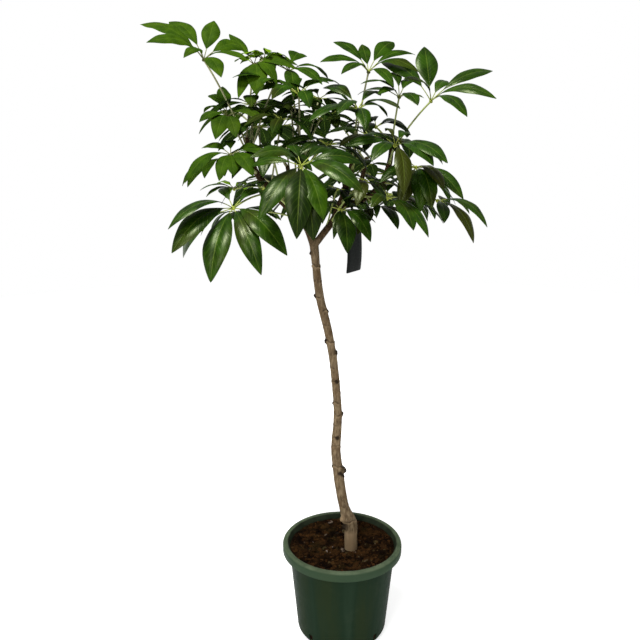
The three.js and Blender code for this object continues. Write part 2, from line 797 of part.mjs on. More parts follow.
function place(name, solid, material) {
  const mesh = new THREE.Mesh(geometryOf(solid), material);
  mesh.name = name;
  plant.add(mesh);
}

const trunk = trunkPiece();
const limbs = limbPieces(trunk);
const tag = tagSolid(limbs[TAG.limb]);
place("pot", potSolid(), MATERIALS.pot);
place("potting_mix", mixSolid(trunk), MATERIALS.mix);
place("trunk", trunk.solid, MATERIALS.bark);
for (const [name, limb] of Object.entries(limbs)) place(`${name}_limb`, limb.solid, MATERIALS.youngBark);
place("plant_tag", tag, MATERIALS.tag);
for (const leaf of leafPieces(trunk, limbs, tag)) place(leaf.name, leaf.solid, MATERIALS.leaf);

export default plant;
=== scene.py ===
# A potted umbrella plant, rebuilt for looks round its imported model: a dark green nursery pot, bark mix,
# a woody stem with its limbs, compound leaves and a blank hanging tag.
# Metres, +Z up. The origin is the centre of the pot's underside, and -Y is the front.
import math
import random
from collections import namedtuple

import bpy
import numpy as np
from mathutils import Matrix, Quaternion, Vector, noise


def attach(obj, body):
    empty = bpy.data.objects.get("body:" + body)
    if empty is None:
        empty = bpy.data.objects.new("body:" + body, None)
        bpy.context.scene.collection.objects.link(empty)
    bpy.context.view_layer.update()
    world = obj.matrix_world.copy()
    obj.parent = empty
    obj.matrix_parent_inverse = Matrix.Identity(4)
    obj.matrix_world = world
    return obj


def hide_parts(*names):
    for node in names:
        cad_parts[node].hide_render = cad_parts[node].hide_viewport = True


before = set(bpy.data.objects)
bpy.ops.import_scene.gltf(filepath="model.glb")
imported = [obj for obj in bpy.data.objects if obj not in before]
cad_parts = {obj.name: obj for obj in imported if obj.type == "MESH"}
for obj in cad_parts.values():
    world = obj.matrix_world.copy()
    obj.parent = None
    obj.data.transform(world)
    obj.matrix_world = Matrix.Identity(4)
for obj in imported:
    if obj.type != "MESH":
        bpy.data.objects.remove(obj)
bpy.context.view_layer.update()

# ---- sizes and places ---------------------------------------------------------------------------

MM = 0.001

# The camera's tilt is in degrees, and its focal length in pixels of the square image.
CAMERA = {"place": (-0.056, -1.721, 1.275), "look_down": 14.65, "focal": 760, "image": 640}

POT = {
    "height": 0.250,
    "base_radius": 0.1115,  # where the wall's slant would meet the ground
    "body_top_radius": 0.1315,  # at the height where the body starts to flare
    "flare_depth": 0.036,  # from the rim's top down to the start of the flare
    "throat_radius": 0.131,  # inside the flare, just under the rim
    "throat_depth": 0.016,
    "wall": 0.003,
    "base_rounding": 0.024,
    "rim_radius": 0.150,
    "rim_inner_radius": 0.136,
    "rim_depth": 0.024,
    "rim_wall": 0.003,
    "rim_roll": 0.0075,  # radius of the rim's rounded outer edge
    "lip_roll": 0.004,  # and of its inner edge
    "recess_radius": 0.078,  # the middle of the underside is raised a little
    "recess": 0.0015,
    "segments": 176,
}
FLARE_FOOT = POT["height"] - POT["flare_depth"]
THROAT = POT["height"] - POT["throat_depth"]
SKIRT_FOOT = POT["height"] - POT["rim_depth"]
# Slots through the foot of the wall.
DRAIN = {"count": 4, "first_heading": -134, "width": 0.012, "foot": 0.012, "top": 0.034, "reach": 0.022}
# The mix is dished: highest against the pot's wall and lowest round the trunk.
MIX = {
    "edge_top": 0.236,
    "middle_top": 0.222,
    "shoulder": 0.118,  # how far out the dish reaches
    "gap": 0.0004,  # to the pot's wall
    "segments": 120,
    "rings": 46,
    "chips": 1500,
    "perlite": 3,
}
CHIP = {
    "small": (0.0020, 0.0068),  # how long most are
    "large": (0.0068, 0.0105),  # how long one in ten is
    "width": (0.45, 0.8),  # over its length
    "height": (0.0010, 0.0024),
}
PERLITE = (0.0013, 0.0024)  # radius of a grain
BIG_PERLITE = [(-0.039, -0.014, 0.0032), (0.030, -0.030, 0.0018)]  # place on the mix, and radius

# The trunk's centre line as (x, y, z, radius).
TRUNK = [
    (0.026, 0.008, 0.130, 0.0165), (0.023, 0.005, 0.218, 0.0165), (0.022, 0.005, 0.262, 0.0165),
    (0.022, 0.005, 0.290, 0.0158), (0.015, 0.005, 0.310, 0.017), (0.009, 0.005, 0.325, 0.0142),
    (0.004, 0.005, 0.342, 0.0124), (-0.007, 0.005, 0.405, 0.013),
    (-0.016, 0.005, 0.480, 0.0122), (-0.017, 0.005, 0.507, 0.012), (-0.013, 0.005, 0.570, 0.0106),
    (-0.014, 0.005, 0.617, 0.0099), (-0.019, 0.004, 0.673, 0.0097), (-0.025, 0.003, 0.730, 0.0099),
    (-0.038, 0.002, 0.802, 0.010), (-0.056, 0.001, 0.879, 0.010), (-0.065, 0.0, 0.952, 0.0094),
    (-0.070, 0.0, 1.008, 0.0106),
]
# Each limb's centre line as (x, y, z, radius).
LIMBS = {
    "left": [
        (-0.070, 0.0, 1.000, 0.0085), (-0.088, -0.002, 1.045, 0.0082), (-0.125, -0.005, 1.085, 0.0078),
        (-0.165, -0.012, 1.125, 0.0074), (-0.190, -0.018, 1.156, 0.0072), (-0.212, -0.008, 1.200, 0.0066),
        (-0.218, 0.002, 1.236, 0.0054),
    ],
    "middle": [
        (-0.112, -0.004, 1.070, 0.006), (-0.110, 0.004, 1.104, 0.006), (-0.103, 0.008, 1.150, 0.0058),
        (-0.098, 0.008, 1.205, 0.005),
    ],
    "centre": [
        (-0.070, 0.0, 1.000, 0.0082), (-0.044, -0.002, 1.034, 0.008), (-0.029, 0.0, 1.054, 0.0078),
        (-0.015, 0.002, 1.084, 0.0076), (0.0, 0.006, 1.125, 0.0072), (0.012, 0.010, 1.165, 0.0068),
        (0.020, 0.014, 1.212, 0.0056),
    ],
    "right": [
        (-0.014, 0.003, 1.086, 0.0066), (0.036, 0.006, 1.102, 0.0068), (0.076, 0.006, 1.132, 0.0068),
        (0.098, 0.008, 1.180, 0.0064), (0.104, 0.012, 1.232, 0.0052),
    ],
    "back_left": [
        (-0.067, 0.002, 0.975, 0.007), (-0.082, 0.052, 1.022, 0.007), (-0.104, 0.112, 1.066, 0.0068),
        (-0.124, 0.160, 1.110, 0.0064), (-0.136, 0.192, 1.165, 0.0054),
    ],
    "back_right": [
        (-0.038, -0.001, 1.043, 0.0064), (-0.012, 0.055, 1.072, 0.0066), (0.020, 0.112, 1.102, 0.0066),
        (0.044, 0.156, 1.134, 0.0062), (0.058, 0.186, 1.186, 0.0052),
    ],
}
# Pruned side shoots on the trunk: height, heading, how far each stands out, and its radius.
STUBS = [
    (0.279, 202, 0.0235, 0.009), (0.434, -10, 0.020, 0.009), (0.586, 20, 0.014, 0.005),
    (0.742, -25, 0.014, 0.0045), (0.770, 190, 0.014, 0.0045), (0.880, 170, 0.014, 0.0045),
    (0.978, 185, 0.014, 0.005),
]
LEDGE = (0.298, 188, 0.0255, 0.010)  # a pale swelling over the lowest cut, in the same numbers
STUB_PITCH = 30  # how steeply they rise, in degrees
# The skin over all the wood: its rings' distance along a stem, and the grain that joins them up.
WOOD = {"ring_gap": 0.006, "voxel": 0.0013, "smoothing": 0.6, "smoothings": 4}
# Leaf scars on the trunk: height, heading of the middle, how far round each reaches, and its ridge in mm.
SCARS = [
    (0.953, -90, 180, 1.5), (0.916, -60, 90, 0.6), (0.881, -150, 95, 1.1), (0.846, -30, 80, 1.2),
    (0.810, -120, 70, 0.6), (0.771, -120, 150, 1.4), (0.741, -30, 60, 0.9), (0.708, -140, 70, 0.7),
    (0.674, -85, 110, 1.2), (0.645, -20, 60, 0.7), (0.617, -150, 100, 1.4), (0.587, -60, 90, 1.2),
    (0.560, -150, 60, 0.7), (0.530, -90, 100, 1.0), (0.505, -90, 120, 0.7), (0.451, -100, 170, 1.3),
    (0.400, -130, 60, 0.4), (0.345, -60, 80, 0.5), (0.302, -80, 100, 1.4),
]
# The bands that make up one scar: how far up each sits, its width and its strength.
RIDGE, GROOVE = (0.0, 0.0022, 1.0), (0.0034, 0.0013, -0.7)
STAIN, CALLUS = (0.0030, 0.0013, 0.7), (-0.0006, 0.0026, 0.5)
# Dark leaf buds that stand out of the trunk: height, heading, and how far each stands out in mm.
BUDS = [
    (0.430, -38, 1.2), (0.436, -75, 0.6), (0.424, -12, 1.8), (0.881, 178, 2.4), (0.847, 0, 2.4),
    (0.771, 182, 2.6), (0.742, -2, 2.2), (0.674, -70, 1.6), (0.617, 176, 2.4), (0.586, 4, 2.6),
    (0.530, -80, 1.4), (0.451, 170, 1.8),
]
BUD = {"out": 0.0105, "width": 0.0052, "dark_width": 0.0056}
PALE_FOOT = {"top": 0.282, "over": 0.014, "most": 0.8}  # the trunk is pale below the lowest cut
# Wood is younger and darker above a height: by half at most on the trunk, and at least so much on limbs.
# The dark young colour is partly the young wood's own and partly painted shade for limbs inside the crown.
YOUNG_AND_SHADED_WOOD = {"foot": 0.955, "over": 0.09, "trunk": 0.5, "limbs": 0.35}
# The bark's relief: its height, and its scales across and along the stem.
FISSURES, LUMPS, PIMPLES = (0.00028, 210, 34), (0.0005, 46, 30), (0.0004, 420, 420)
PIMPLE_FLOOR = 0.32  # only what stands above this shows as a pimple

# A petiole swells where it clasps its limb, over a share of its length, and a little at the hub.
PETIOLE = {"radius": 0.0020, "base_radius": 0.0040, "rise": 0.1, "clasp": 0.10, "hub_swell": 0.25}
HUB_RADIUS = 0.0046
LEAFLET = {
    "stalk": 0.16,  # share of a level leaflet's length taken by its own little stalk
    "stalk_rise": 0.00125,  # how much that share grows with each degree of pitch
    "stalk_radius": 0.00105,
    "slenderness": 0.30,  # width over length
    "fullest": 1.15,  # the higher, the nearer to its tip a blade is widest
    "fullness": 0.86,  # the lower, the blunter its ends
    "crumpled": 0.075,  # a blade shorter than this is young and still crumpled
    "crumple": 0.2,
    "bow": 0.18,
    "upright_pitch": 36.5,  # a leaflet that stands steeper than this is nearly flat
    "upright_bow": 0.3,
    "bow_sway": 0.03,
    "roll_sway": 9,
    "twist": (-9, 9),  # in degrees, from the hub to the tip
    "sway": (-0.012, 0.012),
    "cup": (0.7, 1.2),
    "waves": (2.0, 3.4),  # along each edge
    "wave_height": (0.01, 0.05),
    "thickness": 0.0005,
    "rib": 0.0011,  # how far the midrib stands out below
    "rib_width": 0.0012,
}
LEAN = 14  # how far an umbrella of leaflets tips outwards, in degrees
# Painted shade on some leaves, darker as if shaded: one number for the whole leaf, or one for each leaflet
# in turn. Below 0 is painted light, which makes a leaflet brighter.
PAINTED_LEAF_SHADES = {
    "left_leaf_1": [0.15],
    "left_leaf_4": [0.2],
    "centre_leaf_1": [0.2],
    "middle_leaf_3": [0.0, -0.1, 0.4, 0.9, 0.8, -0.3, 0.1, 0.4, 0.4, 0.3],
}
# A leaflet's tone runs from 0, grown and dark, to 1, young and bright, and below 0 it is painted shade. It
# rises with height, partly for younger growth up there and partly as painted light on the brighter top, and
# to the left as painted light. A leaf above the dull age has no gloss yet.
YOUTH_AND_LIGHT = {"low": 1.16, "high": 1.42, "painted_light_leftwards": 0.45, "sway": 0.14, "dull_age": 0.55}
CRUMPLED_TONE, BROWNING_TONE = 2.0, -2.0
# Right of and below this place, one leaflet in every few is turning brown.
OLD_SIDE = {"x": 0.02, "z": 1.25, "every": 3}
# Leaves round the middle of the crown are darkened with painted shade: its middle, its reach, the share of
# that reach within which they are darkest, and how much painted shade they get there.
CROWN = {"middle": (-0.05, 0.08, 1.20), "reach": 0.27, "heart": 0.55, "painted_shade": 0.6}

Leaf = namedtuple("Leaf", "along hub leaflets spread", defaults=[(), None])
# Every compound leaf: how far along its limb it grows, from 0 to 1, and the hub where its leaflets
# meet. A leaflet is (heading, pitch, length), with heading 0 along +X and 90 along +Y, and a fourth
# number where it is broader or narrower than most. A spread is (count, first heading, droop, length),
# for leaflets that open evenly round the hub.
LEAVES = {
    "left": [
        Leaf(0.95, (-0.31, 0.03, 1.405), [
            (162, 27, 0.172, 1.15), (136, 36, 0.15), (76, 52, 0.112, 1.25), (46, 12, 0.129, 1.2),
            (-34, -3, 0.124), (-62, -22, 0.111, 1.1), (-104, -2, 0.108, 0.8), (-134, 10, 0.148, 0.9),
        ]),
        Leaf(1, (-0.203, 0.06, 1.397), [
            (130, 37, 0.12, 0.85), (134, 8, 0.07, 0.9), (-106, -37, 0.124, 0.75), (-83, -35, 0.12, 1.3),
            (-57, -24, 0.11), (-20, -7, 0.104, 0.8), (20, 0, 0.104), (50, -2, 0.116), (82, 20, 0.084),
        ]),
        Leaf(0.86, (-0.156, 0.0, 1.349), spread=(7, 45, 4, 0.092)),
        Leaf(0.81, (-0.259, 0.0, 1.284), [
            (102, 38, 0.11), (120, 25, 0.113, 0.8), (-119, -6, 0.1, 0.9), (130, 6, 0.097, 0.7),
            (-98, -24, 0.112, 1.15), (-74, -22, 0.11), (-40, -4, 0.11), (10, -2, 0.104), (62, 4, 0.11),
        ]),
        Leaf(0.72, (-0.243, -0.09, 1.206), [
            (141, 8, 0.09), (-129, -21, 0.14, 0.8), (-100, -28, 0.1), (-81, -24, 0.092, 1.1),
            (-60, -19, 0.115), (-8, -8, 0.108), (46, 2, 0.104), (98, 18, 0.084),
        ]),
        Leaf(0.6, (-0.247, -0.01, 1.129), [
            (-145, 1, 0.084, 1.4), (-136, -9, 0.078, 0.8), (-101, -13, 0.062), (-56, 12, 0.062),
            (130, 6, 0.071, 0.8), (64, -12, 0.065),
        ]),
        Leaf(0.52, (-0.23, -0.19, 1.106), [
            (155, -41, 0.168, 1.1), (-132, -9, 0.165, 0.75), (-129, -23, 0.178, 0.95),
            (-103, -42, 0.186), (-62, -40, 0.176, 0.8), (-43, -27, 0.172), (58, 14, 0.112, 0.8),
            (112, 20, 0.096, 0.8),
        ]),
        Leaf(0.765, (-0.212, 0.062, 1.312), spread=(8, 5, 18, 0.118)),
        Leaf(0.66, (-0.192, 0.028, 1.262), spread=(8, 30, 22, 0.112)),
        Leaf(0.42, (-0.16, -0.066, 1.214), spread=(7, 12, 14, 0.124)),
        Leaf(0.34, (-0.172, -0.112, 1.136), spread=(6, 35, 12, 0.088)),
        Leaf(0.56, (-0.138, -0.03, 1.278), spread=(7, 8, 12, 0.104)),
        Leaf(0.905, (-0.183, 0.09, 1.411), spread=(8, 15, 4, 0.066)),
    ],
    "middle": [
        Leaf(1, (-0.127, 0.08, 1.385), [
            (75, 20, 0.113, 1.3), (128, 24, 0.104, 0.8), (172, 2, 0.104, 0.8), (-136, -10, 0.112, 0.9),
            (-82, -29, 0.122), (-50, -16, 0.123, 0.85), (44, -6, 0.126, 0.8),
        ]),
        Leaf(0.86, (-0.101, -0.03, 1.329), [
            (45, 11, 0.13), (-56, 10, 0.114), (-76, -16, 0.104), (-118, -6, 0.112), (100, 20, 0.104),
            (144, 14, 0.11), (-170, 0, 0.104),
        ]),
        Leaf(0.5, (-0.093, -0.2, 1.19), [
            (-136, 9, 0.13, 0.75), (160, -2, 0.112, 0.85), (-124, -34, 0.165, 0.85), (-93, -46, 0.176),
            (-76, -52, 0.168, 1.15), (-69, -37, 0.152, 0.95), (-46, -14, 0.172, 0.9), (8, 2, 0.12),
            (58, 14, 0.118), (104, 18, 0.112, 0.8),
        ]),
        Leaf(0.74, (-0.056, 0.062, 1.28), spread=(7, 25, 12, 0.112)),
        Leaf(0.62, (-0.04, -0.046, 1.226), spread=(8, 8, 14, 0.112)),
        Leaf(0.38, (-0.12, 0.03, 1.304), spread=(7, 18, 16, 0.106)),
        Leaf(0.26, (-0.058, 0.09, 1.324), spread=(7, 2, 10, 0.104)),
    ],
    "centre": [
        Leaf(1, (0.051, 0.04, 1.38), [
            (136, 33, 0.128, 0.75), (-146, 7, 0.13, 0.85), (-127, -5, 0.104), (97, 37, 0.11, 0.85),
            (52, 35, 0.122, 1.05), (29, 18, 0.132, 0.85), (-38, -2, 0.128), (-65, -18, 0.118, 0.7),
        ]),
        Leaf(0.9, (0.024, -0.06, 1.299), [
            (-137, -10, 0.142), (132, 23, 0.12), (-114, -6, 0.112), (-84, -22, 0.108), (-52, 0, 0.128),
            (48, -8, 0.104, 0.8), (60, 16, 0.112),
        ]),
        Leaf(0.5, (0.084, -0.12, 1.119), [
            (-118, -8, 0.084), (105, 12, 0.094), (-69, -23, 0.132, 1.1), (-55, -27, 0.146, 0.8),
            (34, -26, 0.128), (90, 4, 0.11), (150, -6, 0.108),
        ]),
        Leaf(0.72, (0.066, -0.03, 1.09), [
            (46, -24, 0.088), (-8, -18, 0.088), (-67, -18, 0.112), (-92, -9, 0.084, 0.6),
            (-116, -26, 0.108), (140, -10, 0.104),
        ]),
        Leaf(0.3, (-0.012, -0.092, 1.092), [
            (-84, -35, 0.132, 1.05), (-101, -30, 0.1, 0.6), (-51, -31, 0.112, 1.1), (0, -20, 0.08),
            (60, -10, 0.104), (115, -8, 0.104), (160, -12, 0.1, 0.8),
        ]),
        Leaf(0.8, (0.052, -0.032, 1.242), spread=(8, 40, 10, 0.104)),
        Leaf(0.4, (0.04, -0.072, 1.152), spread=(6, 10, 18, 0.104)),
        Leaf(0.63, (0.05, 0.066, 1.176), spread=(7, 15, 10, 0.1)),
        Leaf(0.2, (-0.018, 0.0, 1.128), spread=(7, 36, 20, 0.098)),
    ],
    "right": [
        Leaf(0.87, (0.191, 0.04, 1.318), [
            (17, 24, 0.165, 0.75), (-38, 1, 0.158, 0.7), (-61, -15, 0.132, 1.05), (96, 57, 0.146, 1.2),
            (139, 33, 0.167, 1.25), (56, 31, 0.09, 1.1), (-133, 23, 0.112, 0.85),
        ]),
        Leaf(1, (0.118, 0.02, 1.326), [
            (-144, 13, 0.112), (-128, 2, 0.084), (-72, -11, 0.1, 1.1), (-20, -2, 0.056, 0.7),
            (62, 22, 0.096, 1.2), (94, 31, 0.105, 0.8), (142, 4, 0.112, 0.8),
        ]),
        Leaf(0.76, (0.1, -0.1, 1.226), [
            (70, 8, 0.104, 0.8), (29, -16, 0.14, 0.9), (-49, -12, 0.146, 0.95), (-58, -16, 0.13, 1.15),
            (-85, -41, 0.142, 0.85), (-120, -14, 0.114), (-162, 0, 0.11), (98, 17, 0.097, 0.6),
            (140, 4, 0.104),
        ]),
        Leaf(0.66, (0.15, -0.06, 1.179), [
            (-51, -23, 0.148, 0.75), (-70, -16, 0.132, 0.85), (-78, -36, 0.132, 0.95),
            (-90, -40, 0.13, 0.95), (-114, -35, 0.128), (-140, -14, 0.112), (50, -25, 0.12, 0.9),
            (110, -6, 0.104),
        ]),
        Leaf(0.55, (0.214, 0.04, 1.098), [
            (-89, -22, 0.104), (-58, -33, 0.15, 0.85), (-40, -21, 0.14, 0.75), (30, -20, 0.104, 0.8),
            (70, -14, 0.104), (120, -12, 0.104), (-146, -18, 0.1),
        ]),
        Leaf(0.94, (0.072, 0.07, 1.262), [
            (-47, 0, 0.092, 0.75), (-41, -10, 0.098, 0.7), (-110, -12, 0.092), (-150, -4, 0.096, 0.8),
            (150, 0, 0.096), (95, 6, 0.09), (40, 0, 0.096),
        ]),
    ],
    "back_left": [
        Leaf(1, (-0.25, 0.22, 1.29), spread=(7, 10, 8, 0.124)),
        Leaf(0.8, (-0.15, 0.27, 1.262), spread=(8, 30, 10, 0.128)),
        Leaf(0.66, (-0.292, 0.19, 1.182), spread=(7, 0, 18, 0.132)),
        Leaf(0.73, (-0.052, 0.292, 1.212), spread=(7, 20, 14, 0.132)),
        Leaf(0.58, (-0.196, 0.306, 1.13), spread=(8, 12, 26, 0.146)),
        Leaf(0.5, (-0.078, 0.226, 1.092), spread=(6, 35, 30, 0.132)),
        Leaf(0.4, (-0.262, 0.214, 1.052), spread=(7, 24, 20, 0.116)),
    ],
    "back_right": [
        Leaf(1, (0.15, 0.232, 1.222), spread=(7, 15, 12, 0.122)),
        Leaf(0.92, (0.03, 0.284, 1.148), spread=(7, 40, 22, 0.132)),
        Leaf(0.84, (0.202, 0.184, 1.132), spread=(7, 30, 22, 0.1)),
        Leaf(0.76, (0.124, 0.256, 1.092), spread=(7, 30, 20, 0.124)),
        Leaf(0.66, (-0.016, 0.2, 1.072), spread=(7, 18, 22, 0.112)),
        Leaf(0.96, (-0.03, 0.152, 1.292), spread=(7, 28, 20, 0.112)),
        Leaf(0.55, (0.166, 0.108, 1.088), spread=(7, 40, 20, 0.092)),
    ],
}

TAG = {
    "limb": "centre",
    "along": 0.62,  # where its loop sits on the limb
    "loop_gap": 0.0007,
    "loop_wall": 0.0012,
    "loop_width": 0.009,
    "neck_width": 0.010,
    "neck_flare": 0.004,
    "shoulder": 0.016,  # how far down the plate widens from the neck
    "width": 0.060,
    "length": 0.122,
    "corner": 0.004,
    "thickness": 0.0012,
    "curl": 0.005,  # how far the plate bends out of flat
    "plate_top": (0.020, -0.020, 1.066),
    "turn": 55,  # the plate faces this far to the right of the front
}

# The sky's brightness between two heights above the horizon, each as the sine of its angle.
SKY = {"From Min": 0.19, "From Max": 0.32, "To Min": 1.0, "To Max": 0.30}
# Each light: its place, its diameter and its power in watts. All point at the lit spot.
LIGHTS = {"key": ((-0.8, -0.8, 3.9), 0.8, 175), "front": ((-1.0, -2.7, 3.0), 1.2, 55)}
LIT_SPOT = (0, 0, 1.0)
FLOOR_RADII = (0.001, 1.5, 4.5)

random.seed(20)
UP = Vector((0, 0, 1))


def lerp(a, b, share):
    return a + (b - a) * share


def smooth_step(low, high, value):
    share = min(1.0, max(0.0, (value - low) / (high - low)))
    return share * share * (3 - 2 * share)


def walk(steps):
    """Equal steps from 0 to 1, both included."""
    return [step / steps for step in range(steps + 1)]


def circle(steps):
    return [2 * math.pi * step / steps for step in range(steps)]


def aim(heading, pitch):
    """The unit vector with this heading and pitch, in degrees."""
    turn, lift = math.radians(heading), math.radians(pitch)
    return Vector((math.cos(lift) * math.cos(turn), math.cos(lift) * math.sin(turn), math.sin(lift)))


def new_object(name, data):
    made = bpy.data.objects.new(name, data)
    bpy.context.scene.collection.objects.link(made)
    return made


# ---- materials ----------------------------------------------------------------------------------


def srgb(*display):
    """A display colour, 0 to 255, as the linear colour that a shader takes."""
    shares = [value / 255 for value in display]
    linear = [v / 12.92 if v <= 0.04045 else ((v + 0.055) / 1.055) ** 2.4 for v in shares]
    return (*linear, 1.0)


class Look:
    """A material built node by node round one Principled shader."""

    def __init__(self, name, roughness, **shader):
        self.material = bpy.data.materials.new(name)
        self.material.use_nodes = True
        self.tree = self.material.node_tree
        self.shader = self.tree.nodes["Principled BSDF"]
        self.shader.inputs["Roughness"].default_value = roughness
        for socket, value in shader.items():
            self.shader.inputs[socket.replace("_", " ")].default_value = value

    def node(self, kind, inputs=(), **settings):
        made = self.tree.nodes.new(kind)
        for key, value in settings.items():
            setattr(made, key, value)
        for key, value in dict(inputs).items():
            self.put(made.inputs[key], value)
        return made

    def put(self, socket, value):
        if isinstance(value, bpy.types.NodeSocket):
            self.tree.links.new(value, socket)
        else:
            socket.default_value = value

    def place(self, stretch=(1, 1, 1)):
        """Object coordinates in metres, times a stretch."""
        where = self.node("ShaderNodeTexCoord").outputs["Object"]
        return self.node("ShaderNodeMapping", {"Vector": where, "Scale": stretch}).outputs["Vector"]

    def noise(self, scale, detail=3, stretch=(1, 1, 1), rough=0.55):
        inputs = {"Vector": self.place(stretch), "Scale": scale, "Detail": detail, "Roughness": rough}
        return self.node("ShaderNodeTexNoise", inputs).outputs["Fac"]

    def maths(self, operation, first, second=0.0, third=0.0):
        made = self.node("ShaderNodeMath", operation=operation)
        for socket, value in zip(made.inputs, (first, second, third)):
            self.put(socket, value)
        return made.outputs[0]

    def times(self, first, second):
        return self.maths("MULTIPLY", first, second)

    def spread(self, value, low, high, to_low=0.0, to_high=1.0):
        """A value between low and high, moved smoothly to between two others."""
        inputs = {"Value": value, "From Min": low, "From Max": high, "To Min": to_low, "To Max": to_high}
        return self.node("ShaderNodeMapRange", inputs, interpolation_type="SMOOTHSTEP").outputs["Result"]

    def mix(self, share, first, second):
        made = self.node("ShaderNodeMix", data_type="RGBA")
        for socket, value in zip((made.inputs[0], made.inputs[6], made.inputs[7]), (share, first, second)):
            self.put(socket, value)
        return made.outputs[2]

    def lay(self, mask, colour):
        """Lays a colour over what is there so far, as strongly as the mask says."""
        self.colour = self.mix(mask, self.colour, colour)

    def ramp(self, share, stops):
        made = self.node("ShaderNodeValToRGB", {"Fac": share})
        elements = made.color_ramp.elements
        while len(elements) < len(stops):
            elements.new(0.5)
        for element, (position, colour) in zip(elements, stops):
            element.position = position
            element.color = colour
        return made.outputs["Color"]

    def split(self, vector):
        """The three numbers of a vector, as sockets."""
        return self.node("ShaderNodeSeparateXYZ", {"Vector": vector}).outputs

    def surface(self, key):
        """The three numbers of the surface's "Position" or "Normal"."""
        return self.split(self.node("ShaderNodeNewGeometry").outputs[key])

    def inward(self):
        """1 where the surface faces the upright axis, 0 elsewhere: the mask of the painted shade inside the
        pot.
        """
        place, normal = self.surface("Position"), self.surface("Normal")
        outward = self.maths("MULTIPLY_ADD", place[0], normal[0], self.times(place[1], normal[1]))
        return self.spread(outward, -0.06, -0.03, 1.0, 0.0)

    def growth(self):
        """The three numbers that a mesh stores at each point."""
        return self.split(self.node("ShaderNodeAttribute", attribute_name="growth").outputs["Vector"])

    def finish(self, height, depth, strength, roughness=None):
        """Puts the colour, the bump and perhaps a varied roughness on the shader."""
        self.put(self.shader.inputs["Base Color"], self.colour)
        if roughness is not None:
            self.put(self.shader.inputs["Roughness"], roughness)
        bump = self.node("ShaderNodeBump", {"Height": height, "Distance": depth, "Strength": strength})
        self.put(self.shader.inputs["Normal"], bump.outputs["Normal"])
        return self.material


def leaf_marks(look, across, along):
    """How far off a blade's middle a point is, and masks of its midrib and slanting side veins."""
    off_centre = look.maths("ABSOLUTE", across)
    rib = look.spread(off_centre, 0.015, 0.060, 1.0, 0.0)
    slant = look.times(off_centre, 2.4)
    count = look.maths("SUBTRACT", look.times(along, 11.0), slant)
    wave = look.maths("COSINE", look.times(count, 2 * math.pi))
    return off_centre, rib, look.spread(wave, 0.80, 1.0)


def leaf_top_material(name, gloss, dullness):
    look = Look(name, 0.3, IOR=1.45, Specular_IOR_Level=gloss, Specular_Tint=(0.90, 1.0, 0.55, 1.0))
    across, along, tone = look.growth()
    off_centre, rib, veins = leaf_marks(look, across, along)
    patches = look.spread(look.noise(38, 2), 0.3, 0.7)
    young = look.mix(patches, srgb(30, 52, 2), srgb(46, 68, 3))
    look.colour = look.mix(patches, srgb(13, 32, 2), srgb(29, 54, 4))
    look.lay(look.spread(look.noise(9, 1), 0.54, 0.70, 0.0, 0.5), srgb(40, 38, 8))
    # Partly painted light: the young colour comes in as the tone rises with height and to the left.
    look.lay(tone, young)
    # Painted shade: a tone below 0 lays a near black green over the leaflet.
    look.lay(look.spread(tone, -0.6, 0.0, 0.7, 0.0), srgb(8, 17, 2))
    look.lay(look.spread(tone, -1.9, -1.6, 0.8, 0.0), srgb(39, 42, 8))
    look.lay(look.spread(tone, 1.2, 1.8), srgb(80, 108, 10))
    look.lay(look.times(veins, 0.14), srgb(70, 94, 22))
    look.lay(look.times(rib, look.spread(tone, 0.1, 0.8, 0.20, 0.09)), srgb(112, 130, 48))
    look.lay(look.spread(off_centre, 0.95, 1.0, 0.0, 0.18), srgb(70, 88, 20))
    height = look.maths("SUBTRACT", look.times(veins, -0.8), rib)
    roughness = look.spread(look.noise(24, 3), 0.3, 0.75, 0.27 + dullness, 0.37 + dullness)
    return look.finish(height, 0.0004, 0.3, roughness)


def leaf_under_material():
    look = Look("leaf_under", 0.6, IOR=1.4, Specular_IOR_Level=0.0, Coat_Weight=0.04, Coat_Roughness=0.5)
    across, along, tone = look.growth()
    _, rib, veins = leaf_marks(look, across, along)
    patches = look.spread(look.noise(30, 2), 0.3, 0.7)
    look.colour = look.mix(patches, srgb(20, 38, 6), srgb(30, 48, 9))
    look.lay(tone, look.mix(patches, srgb(44, 70, 6), srgb(58, 84, 10)))
    look.lay(look.spread(tone, 1.2, 1.8), srgb(78, 110, 8))
    look.lay(look.times(veins, 0.3), srgb(78, 104, 34))
    look.lay(look.times(rib, 0.6), srgb(104, 128, 54))
    height = look.maths("ADD", veins, look.times(look.noise(700, 2), 0.3))
    return look.finish(height, 0.0005, 0.5)


def stalk_material():
    """Growth's second number runs from the limb, 0, to the hub, 1, and falls a little on the small stalks."""
    look = Look("leaf_stalk", 0.5, IOR=1.42, Specular_IOR_Level=0.1)
    _, along, tone = look.growth()
    fibres = look.noise(420, 3, (1, 1, 0.12))
    look.colour = look.mix(fibres, srgb(104, 116, 58), srgb(140, 148, 88))
    look.lay(look.spread(tone, 0.2, 0.9), look.mix(fibres, srgb(112, 114, 78), srgb(148, 148, 112)))
    knob = look.mix(look.spread(tone, 0.05, 0.5), srgb(126, 136, 52), srgb(72, 76, 34))
    look.lay(look.spread(along, 0.93, 1.0), knob)
    look.lay(look.spread(along, 0.0, 0.12, 0.75, 0.0), srgb(74, 62, 34))
    return look.finish(fibres, 0.0003, 0.4)


